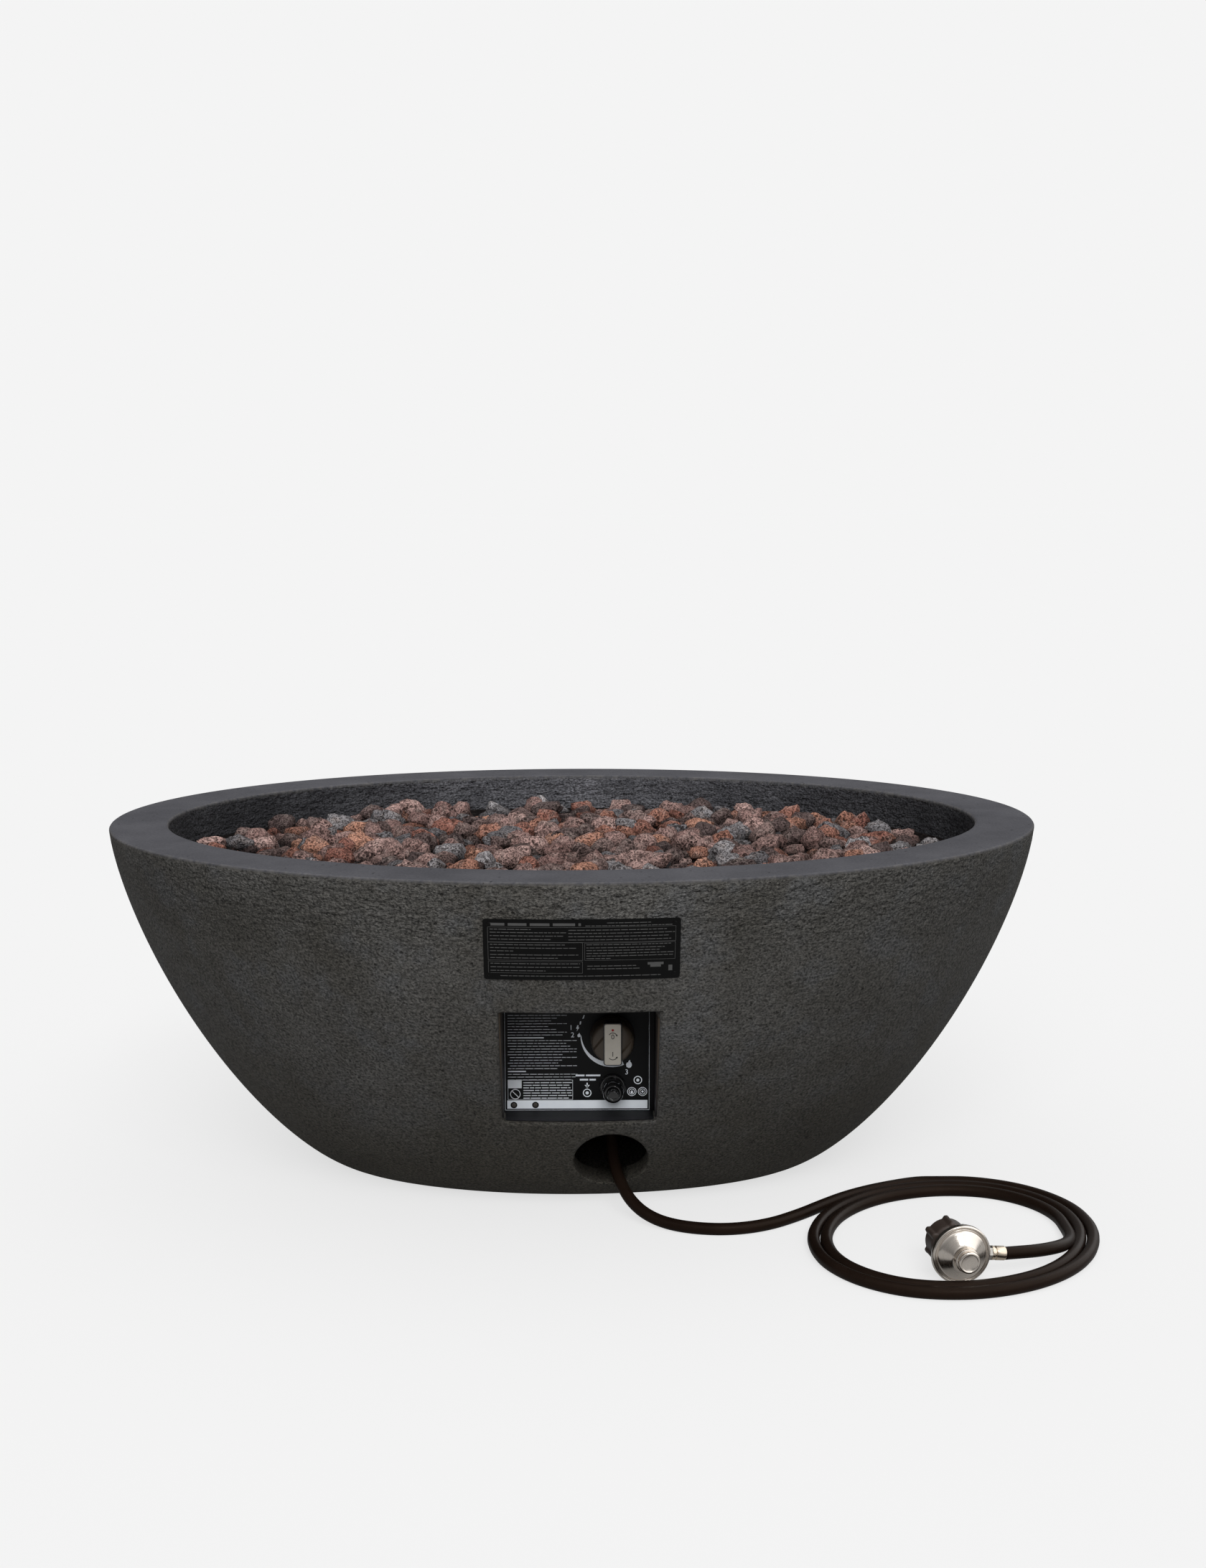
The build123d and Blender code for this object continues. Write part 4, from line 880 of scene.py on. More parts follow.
def lining_finish():
    """Sheet that lines the recess: black deep inside as painted shade, paler towards the mouth and dull
    brown-grey at the mouth as painted light.
    """
    material, tree, shader, where = new_finish("Recess lining", Roughness=0.6, Specular_IOR_Level=0.2)
    parts = put(tree, "SeparateXYZ", {"Vector": where}).outputs
    # Painted light and shade: the lining is painted black deep inside, lighter towards the mouth, and
    # brown-grey at the mouth where the light falls on it.
    mouth = spread(tree, parts["Y"], -0.300, -0.370)
    mouth = times(tree, mouth, spread(tree, parts["Z"], 0.150, 0.160))
    base = blend_colours(tree, spread(tree, parts["Y"], -0.290, -0.345), paint(15, 15, 17), paint(62, 62, 67))
    tree.links.new(blend_colours(tree, mouth, base, paint(92, 82, 72)), shader.inputs["Base Color"])
    join_bump(tree, shader, grain(tree, where, 300, 3, 0.5), 0.0002, 0.4)
    return material


for entry in frame["record"]["subparts"]:
    finish = FINISHES.get(entry["material_slot"])
    if finish:
        nodes[entry["node"]].data.materials.clear()
        nodes[entry["node"]].data.materials.append(finish)
nodes["control_box"].data.materials.clear()
nodes["control_box"].data.materials.append(lining_finish())
print("finishes", len(FINISHES))

# %% [markdown]
# ## Turned parts
# Knobs, push buttons, sleeves and pressed covers are all round about an axis, as if turned on
# a lathe. Each is drawn as one side of its cut, a row of (radius, distance) pairs, and spun
# round. A small bevel then rounds the corners, because a sharp corner never catches light.

# %% Lathe
LATHE_STEPS = 96


def spin_cut(bm, cut, closed=False, steps=LATHE_STEPS):
    """Spins a cut of (radius, distance) pairs in millimetres round the Z axis."""
    verts = [bm.verts.new((radius * MM, 0, along * MM)) for radius, along in cut]
    pairs = list(zip(verts, verts[1:]))
    if closed:
        pairs.append((verts[-1], verts[0]))
    edges = [bm.edges.new(pair) for pair in pairs]
    bmesh.ops.spin(bm, geom=verts + edges, cent=(0, 0, 0), axis=(0, 0, 1), angle=math.tau,
                   steps=steps, use_merge=True)
    bmesh.ops.remove_doubles(bm, verts=bm.verts, dist=1e-6)


def stand(bm, place, axis):
    """Turns what was drawn about Z to another axis and moves it to its place."""
    turn = Vector(axis).to_track_quat("Z", "Y").to_matrix().to_4x4()
    bmesh.ops.transform(bm, verts=bm.verts, matrix=Matrix.Translation(place) @ turn)


def soften(piece, width, segments=3, angle=28):
    """Rounds the corners of a piece with a bevel."""
    bevel = piece.modifiers.new("soft corners", "BEVEL")
    bevel.width = width * MM
    bevel.segments = segments
    bevel.limit_method = "ANGLE"
    bevel.angle_limit = math.radians(angle)
    bevel.harden_normals = True
    return piece


def turned(name, cut, place, axis, material, body="base", corner=0.3):
    """A turned piece in one call."""
    bm = bmesh.new()
    spin_cut(bm, cut)
    stand(bm, place, axis)
    bmesh.ops.recalc_face_normals(bm, faces=bm.faces[:])
    sharpen(bm, 48)
    piece = finish_piece(bm, name, material, body)
    return soften(piece, corner) if corner else piece


# %% [markdown]
# ## The plate above the recess
# A thin black plate is riveted on. It has to follow a wall that curves both ways, so a flat
# grid is laid out first and each of its points is then moved back onto the wall. Frames and
# rows of short plain bars are printed on it, a shade lighter than the plate.

# %% Plate and rivets
PLATE_CENTRE_X = 0.012
PLATE_CENTRE_Z = 0.3895
PLATE_SIZE = (0.2215, 0.075)
PLATE_CORNER = 0.0035
PLATE_BACK = 0.0006
PLATE_FRONT = 0.0016
PRINT_HEIGHT = 0.00012
RIVET_INSET = 0.0065


def round_corners(bm, half_x, half_z, radius):
    """Cuts the corners of a flat sheet about the origin with a few short sides each."""
    for side_x in (-1, 1):
        for side_z in (-1, 1):
            for step in range(1, 5):
                turn = step * math.pi / 10
                normal = Vector((side_x * math.cos(turn), side_z * math.sin(turn), 0))
                centre = Vector((side_x * (half_x - radius), side_z * (half_z - radius), 0))
                bmesh.ops.bisect_plane(bm, geom=bm.verts[:] + bm.edges[:] + bm.faces[:], dist=1e-7,
                                       plane_co=centre + radius * normal, plane_no=normal, clear_outer=True)


def bend_to_wall(bm, verts, back, front):
    """Gives flat verts (X and Z drawn as X and Y) a thickness and lays them on the wall."""
    faces = list({face for vert in verts for face in vert.link_faces})
    top = thicken(bm, faces)
    for vert in [*verts, *top]:
        x, z = vert.co.x, vert.co.y
        vert.co = (x, wall_front(x, z, front if vert in top else back), z)


def flat_sheet(bm, low_x, high_x, low_z, high_z, step=0.004):
    """A flat grid between two corners, fine enough to be bent."""
    columns = max(1, round((high_x - low_x) / step))
    rows = max(1, round((high_z - low_z) / step))
    sheet = bmesh.ops.create_grid(bm, x_segments=columns, y_segments=rows, size=0.5)["verts"]
    bmesh.ops.scale(bm, vec=(high_x - low_x, high_z - low_z, 1), verts=sheet)
    bmesh.ops.translate(bm, vec=((low_x + high_x) / 2, (low_z + high_z) / 2, 0), verts=sheet)
    return sheet


def make_plate():
    """The black plate, with its corners cut to a small radius."""
    bm = bmesh.new()
    half_x, half_z = PLATE_SIZE[0] / 2, PLATE_SIZE[1] / 2
    flat_sheet(bm, -half_x, half_x, -half_z, half_z)
    round_corners(bm, half_x, half_z, PLATE_CORNER)
    bmesh.ops.translate(bm, vec=(PLATE_CENTRE_X, PLATE_CENTRE_Z, 0), verts=bm.verts)
    bend_to_wall(bm, bm.verts[:], PLATE_BACK, PLATE_FRONT)
    bmesh.ops.recalc_face_normals(bm, faces=bm.faces[:])
    plate = finish_piece(bm, "wall_plate", FINISHES["plate_black"])
    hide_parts("warning_plate")
    soften(plate, 0.35, angle=50)


# Low and high X, then low and high Z, in millimetres from the plate's centre
PLATE_FRAMES = [(-105.5, 105.3, 9.4, 28), (-105.5, 1, -12.9, 9.4), (3, 105, -12.9, 8.7),
                (-105.5, 0.8, -29, -14.1)]
PLATE_BLOCKS = [(74, 92, -19.4, -16.4), (77, 89, -22.4, -19.4), (97.5, 102, -27.5, -20.5)]
FRAME_LINE = 0.35
# Low and high X, height and letter height of each row
PLATE_ROWS = [(-105, -1, 28.9, 4.6), (28, 79, 32.3, 1.2), (4, 102, 28.9, 1.2),
              (-103, -57, 24.6, 1.3), (-103, -17, 20.8, 1.3), (-103, -21, 16.7, 1.3), (-103, -33, 12.5, 1.3),
              (-15, 95, 23.8, 1.3), (-15, 104, 19.9, 1.3), (-15, 99, 16.0, 1.3), (-15, 100, 12.0, 1.3),
              (-103, -19, 5.9, 1.3), (-103, -5, 1.9, 1.3), (-103, -77, -1.9, 1.3), (-103, -4, -6.6, 1.3),
              (-103, -27, -10.5, 1.3), (5, 100, 5.9, 1.3), (5, 95, 2.1, 1.3), (5, 89, -1.2, 1.3),
              (5, 103, -4.7, 1.3), (5, 104, -8.0, 1.3), (5, 32, -11.2, 1.3), (-103, -2, -17.6, 1.3),
              (-103, -1, -22.0, 1.3), (-103, -41, -26.5, 1.3), (6, 61, -20.6, 1.3), (6, 65, -24.1, 1.3),
              (-92, 89, -33.1, 1.3)]


def make_plate_print():
    """Frames and rows of short plain bars, all a little in front of the plate."""
    bm = bmesh.new()

    def bar(low_x, high_x, low_z, high_z):
        sheet = flat_sheet(bm, PLATE_CENTRE_X + low_x * MM, PLATE_CENTRE_X + high_x * MM,
                           PLATE_CENTRE_Z + low_z * MM, PLATE_CENTRE_Z + high_z * MM, 0.006)
        bend_to_wall(bm, sheet, PLATE_FRONT - PRINT_HEIGHT, PLATE_FRONT + PRINT_HEIGHT)

    for low_x, high_x, low_z, high_z in PLATE_FRAMES:
        bar(low_x, high_x, high_z - FRAME_LINE, high_z)
        bar(low_x, high_x, low_z, low_z + FRAME_LINE)
        bar(low_x, low_x + FRAME_LINE, low_z, high_z)
        bar(high_x - FRAME_LINE, high_x, low_z, high_z)
    chance = random.Random(5)
    for low_x, high_x, height, thickness in PLATE_ROWS:
        x = low_x
        while x < high_x - 1:
            word = min(chance.uniform(2.4, 9.0) * max(1.0, thickness / 1.6), high_x - x)
            bar(x, x + word, height + 0.15 * thickness, height + 0.85 * thickness)
            x += word + 0.8 * thickness
    for block in PLATE_BLOCKS:
        bar(*block)
    bmesh.ops.recalc_face_normals(bm, faces=bm.faces[:])
    finish_piece(bm, "wall_plate_lines", PLATE_PRINT, smooth=False)


def make_plate_rivets():
    """Four domed rivet heads at the plate's corners."""
    bm = bmesh.new()
    for side in (-1, 1):
        for end in (-1, 1):
            x = PLATE_CENTRE_X + side * (PLATE_SIZE[0] / 2 - RIVET_INSET)
            z = PLATE_CENTRE_Z + end * (PLATE_SIZE[1] / 2 - RIVET_INSET)
            seat = Vector((x, wall_front(x, z, PLATE_FRONT), z))
            slope = Vector((0, wall_front(x, z + 0.002) - wall_front(x, z - 0.002), 0.004))
            around = Vector((0.004, wall_front(x + 0.002, z) - wall_front(x - 0.002, z), 0))
            head = bmesh.ops.create_uvsphere(bm, u_segments=24, v_segments=12, radius=1)["verts"]
            flat = Matrix.Diagonal((2.6 * MM, 2.6 * MM, 1.1 * MM, 1))
            turn = around.cross(slope).normalized().to_track_quat("Z", "Y").to_matrix().to_4x4()
            bmesh.ops.transform(bm, verts=head, matrix=Matrix.Translation(seat) @ turn @ flat)
    heads = finish_piece(bm, "wall_plate_rivets", FINISHES["rivet_dark"])
    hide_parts("plate_rivets")


PLATE_PRINT = plain_finish("Faint print", paint(78, 78, 78), paint(88, 88, 87), 0.5)
make_plate()
make_plate_print()
make_plate_rivets()

# %% [markdown]
# ## The print on the control panel
# The panel is printed in silver and grey: a border, a strip along the foot, rows of short
# plain bars, a dial that widens from low to high with plain numbers, and symbols that anyone
# may use. Each shape is a thin closed slab on the panel's face, so it shows from every side.

# %% Panel print
PANEL_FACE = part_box("control_panel")[0].y
PRINT_DEPTH = 0.15 * MM
AXIS_X = 49.0
AXIS_Z = 241.5
print("panel face", round(PANEL_FACE, 4))


def print_slab(bm, verts_before):
    """Gives the flat faces drawn since then (in X and Y) their depth and stands them on the panel."""
    fresh = [vert for vert in bm.verts if vert not in verts_before]
    faces = list({face for vert in fresh for face in vert.link_faces})
    top = thicken(bm, faces)
    for vert in [*fresh, *top]:
        vert.co = (vert.co.x, PANEL_FACE - (PRINT_DEPTH if vert in top else 0), vert.co.y)


def print_bar(bm, low_x, high_x, low_z, high_z):
    """A plain bar between two corners, in millimetres."""
    before = set(bm.verts)
    verts = bmesh.ops.create_grid(bm, x_segments=1, y_segments=1, size=0.5)["verts"]
    bmesh.ops.scale(bm, vec=((high_x - low_x) * MM, (high_z - low_z) * MM, 1), verts=verts)
    bmesh.ops.translate(bm, vec=((low_x + high_x) / 2 * MM, (low_z + high_z) / 2 * MM, 0), verts=verts)
    print_slab(bm, before)


def print_frame(bm, low_x, high_x, low_z, high_z, line):
    """A rectangle drawn with a line of one width."""
    print_bar(bm, low_x, high_x, high_z - line, high_z)
    print_bar(bm, low_x, high_x, low_z, low_z + line)
    print_bar(bm, low_x, low_x + line, low_z + line, high_z - line)
    print_bar(bm, high_x - line, high_x, low_z + line, high_z - line)


def print_outline(bm, points, x, z, size=1.0):
    """A filled outline of a few points, placed and sized in millimetres."""
    before = set(bm.verts)
    verts = [bm.verts.new(((x + px * size) * MM, (z + pz * size) * MM, 0)) for px, pz in points]
    bm.faces.new(verts)
    print_slab(bm, before)


def print_ring(bm, x, z, outer, inner, steps=32):
    """A ring, or a disc where the inner radius is nothing."""
    before = set(bm.verts)
    made = bmesh.ops.create_circle(bm, cap_ends=inner == 0, segments=steps, radius=outer * MM)["verts"]
    if inner:
        made = made + bmesh.ops.create_circle(bm, segments=steps, radius=inner * MM)["verts"]
        bmesh.ops.bridge_loops(bm, edges=list({edge for vert in made for edge in vert.link_edges}))
    bmesh.ops.translate(bm, vec=(x * MM, z * MM, 0), verts=made)
    print_slab(bm, before)


def print_dial(bm, start, end, outer, thin, thick, steps=36):
    """A band round the knob's axis that widens from its start to its end, angles in degrees."""
    before = set(bm.verts)
    first = [bm.verts.new((outer * MM, 0, 0)), bm.verts.new(((outer - thin) * MM, 0, 0))]
    edge = bm.edges.new(first)
    turn = Matrix.Rotation(math.radians(start), 4, "Z")
    bmesh.ops.transform(bm, verts=first, matrix=turn)
    bmesh.ops.spin(bm, geom=[*first, edge], cent=(0, 0, 0), axis=(0, 0, 1), angle=math.radians(end - start),
                   steps=steps)
    for vert in (vert for vert in bm.verts if vert not in before):
        if vert.co.length < (outer - thin / 2) * MM:
            swept = (math.degrees(math.atan2(vert.co.y, vert.co.x)) - start + 0.01) % 360 / (end - start)
            vert.co *= (outer - thin - (thick - thin) * swept) / (outer - thin)
    fresh = [vert for vert in bm.verts if vert not in before]
    bmesh.ops.translate(bm, vec=(AXIS_X * MM, AXIS_Z * MM, 0), verts=fresh)
    print_slab(bm, before)


FLAME = [(0, -5), (2.4, -4), (3.6, -1.6), (3.2, 1.2), (1.6, 3), (1.4, 5.4), (-0.6, 3.6), (-1.0, 1.6),
         (-2.2, 2.2), (-3.6, -0.6), (-2.8, -3.6)]
BOLT = [(-0.4, 5), (1.8, 4.6), (0.9, 1.2), (2.6, 1.2), (-1.4, -5), (-0.3, -0.8), (-2.4, -0.6)]


def print_number(body, x, z, height, material, rides, y, piece_name):
    """A plain number as a thin raised mesh that faces the front."""
    curve = bpy.data.curves.new(piece_name, "FONT")
    curve.body = body
    curve.size = height * 1.37 * MM
    curve.extrude = 0.08 * MM
    curve.resolution_u = 4
    curve.align_x = "CENTER"
    curve.align_y = "CENTER"
    carrier = bpy.data.objects.new(piece_name + "_curve", curve)
    mesh = bpy.data.meshes.new_from_object(carrier)
    bpy.data.objects.remove(carrier)
    bpy.data.curves.remove(curve)
    mesh.transform(Matrix.Translation((x * MM, y, z * MM)) @ Matrix.Rotation(math.pi / 2, 4, "X"))
    mesh.materials.clear()
    mesh.materials.append(material)
    piece = add_object(piece_name, mesh)
    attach(piece, rides)
    return piece


ROWS_LEFT = -78.2
ROWS_TOP = 267.6
ROW_STEP = 3.52
HEADINGS = {8: 44, 20: 22}
INDENTED = (12, 15, 16, 18)


def print_rows(bm):
    """Rows of short plain bars, and a single thicker bar where a row is a heading."""
    chance = random.Random(3)
    height = ROWS_TOP
    for row in range(24):
        if row in HEADINGS:
            print_bar(bm, ROWS_LEFT, ROWS_LEFT + HEADINGS[row], height, height + 1.5)
        else:
            indent = 2.6 if row in INDENTED else 0
            full = 6 if 9 <= row else -6
            reach = full - chance.uniform(0, 26) * (row % 3 > 0)
            x = ROWS_LEFT + indent
            while x < reach:
                word = min(chance.uniform(3.0, 11.0), reach - x)
                print_bar(bm, x, x + max(word, 1.2), height + 0.4, height + 1.05)
                x += word + 1.1
        height -= ROW_STEP


def print_marks(bm):
    """Dial, markers and symbols in silver."""
    print_dial(bm, 178, 292, 38.4, 0.9, 8.4)
    print_outline(bm, [(-0.8, -2.6), (0.9, -2.2), (2.3, 2.2), (0.6, 1.8)], 13.6, 266.4)
    print_outline(bm, [(-0.9, -2.2), (0.9, -2), (1.4, 1.9), (-0.3, 1.7)], 10.1, 258.8)
    print_outline(bm, BOLT, 7.0, 252.0, 0.8)
    print_outline(bm, FLAME, 8.6, 243.4, 0.55)
    print_outline(bm, FLAME, 69.4, 206.8, 1.0)
    print_ring(bm, 80.3, 186.6, 5.2, 4.1)
    print_ring(bm, 80.3, 186.6, 1.9, 0)
    for x in (72.9, 86.0):
        print_ring(bm, x, 172.1, 5.6, 4.9)
        print_ring(bm, x, 172.1, 3.6, 2.9)
    print_outline(bm, FLAME, 72.9, 171.8, 0.42)
    print_ring(bm, 86.0, 172.1, 1.3, 0)
    print_ring(bm, 18.4, 170.6, 5.2, 4.2)
    print_ring(bm, 18.4, 170.6, 2.0, 0)
    print_bar(bm, 17.6, 19.2, 177.2, 183.4)
    for low_x, high_x, low_z in ((4.4, 15.2, 191.6), (16.8, 34.6, 191.6), (9.4, 19.6, 186.2),
                                 (21.2, 29.0, 186.2)):
        print_bar(bm, low_x, high_x, low_z, low_z + 2.2)
    print_outline(bm, [(-3.2, 1.6), (0, -2.6), (3.2, 1.6)], 18.4, 179.0)


def print_box(bm):
    """The framed box at the lower left: a grey cell, a crossed ring, and bars."""
    print_frame(bm, -78.6, 0.9, 162.2, 187.2, 0.45)
    print_bar(bm, -78.1, -61.6, 176.8, 186.6)
    print_ring(bm, -69.4, 169.3, 6.4, 5.5)
    print_outline(bm, [(-4.4, 3.7), (-3.7, 4.4), (4.4, -3.7), (3.7, -4.4)], -69.4, 169.3)
    chance = random.Random(8)
    for row in range(7):
        height = 182.8 - row * 3.25
        x = -59.6
        reach = 0 - chance.uniform(0.8, 13) * (row in (1, 2, 6))
        while x < reach - 1.5:
            word = min(chance.uniform(5.0, 13.0), reach - x)
            print_bar(bm, x, x + word, height + 0.35, height + 1.45)
            x += word + 1.2


def print_strip(bm):
    """The bright strip along the foot."""
    print_bar(bm, -79.4, 92.0, 150.9, 161.4)


def strip_domes(name, radius, height, material):
    """A shallow dome over each of the two holes in the strip, coloured as painted shade for the inside of the
    hole.
    """
    bm = bmesh.new()
    for x in (-71.3, -44.9):
        dome = bmesh.ops.create_uvsphere(bm, u_segments=32, v_segments=12, radius=radius * MM)["verts"]
        bmesh.ops.scale(bm, vec=(1, height / radius, 1), verts=dome)
        bmesh.ops.translate(bm, vec=(x * MM, PANEL_FACE, 0.1555), verts=dome)
    finish_piece(bm, name, material)


silver_print = bmesh.new()
print_frame(silver_print, -81.9, 94.3, 148.9, 305.0, 0.4)
print_marks(silver_print)
print_strip(silver_print)
bmesh.ops.recalc_face_normals(silver_print, faces=silver_print.faces[:])
PRINT_SILVER = plain_finish("Silver print", paint(228, 234, 242), paint(240, 245, 251), 0.42)
finish_piece(silver_print, "panel_marks", PRINT_SILVER, smooth=False)
# Painted shade: a black ring and a dim grey middle over each hole stand for the shade inside it.
strip_domes("strip_hole_shade_rings", 4.4, 0.45, FINISHES["black_steel"])
strip_domes("strip_hole_shade_middles", 3.0, 0.8, plain_finish("Hole shade grey", paint(58, 53, 50), paint(72, 67, 63), 0.5))
grey_print = bmesh.new()
print_rows(grey_print)
print_box(grey_print)
bmesh.ops.recalc_face_normals(grey_print, faces=grey_print.faces[:])
PRINT_GREY = plain_finish("Grey print", paint(206, 210, 216), paint(222, 226, 232), 0.5)
finish_piece(grey_print, "panel_rows", PRINT_GREY, smooth=False)
for body, x, z in (("1", -1.0, 252.6), ("2", 0.8, 243.4), ("3", 66.6, 196.6)):
    face = PANEL_FACE - PRINT_DEPTH / 2
    number = print_number(body, x, z, 6.6, PRINT_SILVER, "base", face, "dial_number_" + body)

# %% [markdown]
# ## The knob
# The knob is moulded plastic: a straight round side, a domed face with two scoops for the
# fingers, and a ridge that holds a satin bar. The body is turned, and the scoops are then
# pressed into its face by moving points back behind two slanted creases.

# %% Knob
KNOB_BACK = -0.277
KNOB_AXIS = Vector((0.049, KNOB_BACK, 0.243))
KNOB_CUT = [(0, 0), (27, 0), (27, 2.2), (26.3, 3.4), (26.1, 12), (25.9, 22), (25.4, 25), (24.2, 27.2),
            (22.4, 28.4), (20, 29.1), (17.5, 29.6), (15, 30.0), (12.5, 30.3), (10, 30.5), (7.5, 30.7),
            (5, 30.8), (2.5, 30.9), (0, 30.9)]
CREASES = [((24.5, 3.5), (11.5, -12.5)), ((-10.5, 7.0), (-24.0, -10.5))]
SCOOP_DEPTH = 3.4
SCOOP_REACH = 12.0
SCOOP_START = 12
SCOOP_RISE = 12
CREASE_WIDTH = 1.6
RIDGE_HALF = 10.2
BAR_SIZE = (20.0, 50.4)
BAR_FRONT = 34.0


def press_scoops(bm):
    """Moves the points of the face back below each crease, most at the crease itself."""
    for vert in bm.verts:
        x, z, depth = vert.co.x / MM, -vert.co.y / MM, vert.co.z / MM
        if depth < SCOOP_START or abs(x) < RIDGE_HALF:
            continue
        for (start_x, start_z), (end_x, end_z) in CREASES:
            if (x > 0) != (start_x > 0):
                continue
            along = Vector((end_x - start_x, end_z - start_z)).normalized()
            below = (x - start_x) * along.y - (z - start_z) * along.x
            press = max(0.0, min(1.0, below / CREASE_WIDTH)) * math.exp(-max(0.0, below) / SCOOP_REACH)
            vert.co.z -= SCOOP_DEPTH * press * MM * min(1.0, (depth - SCOOP_START) / SCOOP_RISE)


def rounded_block(bm, size_x, size_z, low, high, corner, edge):
    """A block about the Z axis with rounded upright corners and a soft front edge, in millimetres."""
    block = bmesh.ops.create_cube(bm, size=1)["verts"]
    bmesh.ops.scale(bm, vec=(size_x * MM, size_z * MM, (high - low) * MM), verts=block)
    bmesh.ops.translate(bm, vec=(0, 0, (low + high) / 2 * MM), verts=block)
    upright = [e for e in bm.edges if e.verts[0] in block and abs(e.verts[0].co.z - e.verts[1].co.z) > 1e-6]
    bmesh.ops.bevel(bm, geom=upright, offset=corner * MM, affect="EDGES", segments=6, profile=0.5,
                    material=-1)
    front = [e for e in bm.edges if all(abs(v.co.z - high * MM) < 1e-7 for v in e.verts) and e.is_manifold
             and e.calc_face_angle(0) > 0.5]
    bmesh.ops.bevel(bm, geom=front, offset=edge * MM, affect="EDGES", segments=4, profile=0.5, material=-1)


def make_knob():
    """Knob body with scoops and ridge, then the bar."""
    bm = bmesh.new()
    spin_cut(bm, KNOB_CUT, steps=144)
    face_edges = [edge for edge in bm.edges
                  if all(vert.co.z > 24 * MM and vert.co.xy.length > 8 * MM for vert in edge.verts)]
    bmesh.ops.subdivide_edges(bm, edges=face_edges, cuts=2, use_grid_fill=True)
    press_scoops(bm)
    stand_knob(bm)
    knob = finish_piece(bm, "knob_body", FINISHES["knob_plastic"], "knob")
    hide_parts("control_knob")
    ridge = bmesh.new()
    rounded_block(ridge, BAR_SIZE[0] + 2.2, BAR_SIZE[1] + 2.0, 18, BAR_FRONT - 1.1, 3.2, 0.8)
    stand_knob(ridge)
    finish_piece(ridge, "knob_ridge", FINISHES["igniter_gloss"], "knob")
    bar = bmesh.new()
    rounded_block(bar, *BAR_SIZE, BAR_FRONT - 2, BAR_FRONT, 2.6, 0.7)
    stand_knob(bar)
    insert = finish_piece(bar, "knob_bar", SATIN_BAR, "knob")
    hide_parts("knob_insert")


def stand_knob(bm):
    """From drawing about Z to the knob's axis: front to -Y, drawing's -Y to up."""
    turn = Matrix(((1, 0, 0, 0), (0, 0, -1, 0), (0, -1, 0, 0), (0, 0, 0, 1)))
    bmesh.ops.transform(bm, verts=bm.verts, matrix=Matrix.Translation(KNOB_AXIS) @ turn)
    bmesh.ops.recalc_face_normals(bm, faces=bm.faces[:])
    sharpen(bm, 40)


def satin_bar_finish():
    """Painted satin silver with a very fine grain and a warm cast."""
    material, tree, shader, where = new_finish("Satin bar", Metallic=0.8)
    colour, mask = mottle(tree, where, 90, 0.3, paint(200, 194, 183), paint(215, 209, 199))
    tree.links.new(colour, shader.inputs["Base Color"])
    tree.links.new(spread(tree, mask, 0, 1, 0.38, 0.46), shader.inputs["Roughness"])
    join_bump(tree, shader, grain(tree, where, 2600, 3, 0.6), 0.00006, 0.3)
    return material


ARROW_LINE = 0.84
ARROW_HALF = 1.3
ARROW_TIP = 2.2


def knob_arrow(bm, x, z, radius, start, end):
    """A thin arc with an arrowhead at its end, on the bar's face."""
    before = set(bm.verts)
    cut = [bm.verts.new(((radius + side * ARROW_LINE / 2) * MM, 0, 0)) for side in (-1, 1)]
    edge = bm.edges.new(cut)
    bmesh.ops.transform(bm, verts=cut, matrix=Matrix.Rotation(math.radians(start), 4, "Z"))
    bmesh.ops.spin(bm, geom=[*cut, edge], cent=(0, 0, 0), axis=(0, 0, 1), angle=math.radians(end - start),
                   steps=20)
    tip = Vector((math.cos(math.radians(end)), math.sin(math.radians(end)), 0))
    ahead = Vector((-tip.y, tip.x, 0)) * (1 if end > start else -1)
    head = [tip * (radius + ARROW_HALF), tip * radius + ahead * ARROW_TIP, tip * (radius - ARROW_HALF)]
    bm.faces.new([bm.verts.new(MM * point) for point in head])
    fresh = [vert for vert in bm.verts if vert not in before]
    bmesh.ops.translate(bm, vec=(x * MM, z * MM, 0), verts=fresh)


def make_knob_marks():
    """Arrows, numbers and the red dot on the bar."""
    front = KNOB_BACK - BAR_FRONT * MM
    bm = bmesh.new()
    knob_arrow(bm, 0, 9.4, 5.0, 150, 30)
    knob_arrow(bm, 0, -13.4, 5.4, 215, 325)
    top = thicken(bm, bm.faces[:])
    for vert in bm.verts:
        height = front - (0.08 * MM if vert in top else -0.02 * MM)
        vert.co = (KNOB_AXIS.x + vert.co.x, height, KNOB_AXIS.z + vert.co.y)
    bmesh.ops.recalc_face_normals(bm, faces=bm.faces[:])
    finish_piece(bm, "knob_arrows", DARK_INK, "knob", smooth=False)
    for body, z in (("0", 9.2), ("1", -12.2)):
        place_z = KNOB_AXIS.z / MM + z
        name = "knob_number_" + body
        number = print_number(body, KNOB_AXIS.x / MM, place_z, 6.2, DARK_INK, "knob", front, name)
    dot_place = Vector((KNOB_AXIS.x, front + 0.0002, KNOB_AXIS.z + 0.0177))
    dot = turned("red_dot", [(0, 0), (1.5, 0), (1.5, 0.25), (1.1, 0.42), (0, 0.5)], dot_place, (0, -1, 0),
                 FINISHES["red_mark"], "knob", corner=0.05)
    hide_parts("knob_dot")


SATIN_BAR = satin_bar_finish()
DARK_INK = plain_finish("Dark ink", paint(34, 32, 30), paint(42, 39, 37), 0.6, Specular_IOR_Level=0.2)
make_knob()
make_knob_marks()

# %% [markdown]
# ## The igniter
# The igniter is a glossy black push button in a stepped barrel. Its steps are turned, and
# each corner gets its own small radius, which is what draws the bright rings of light.

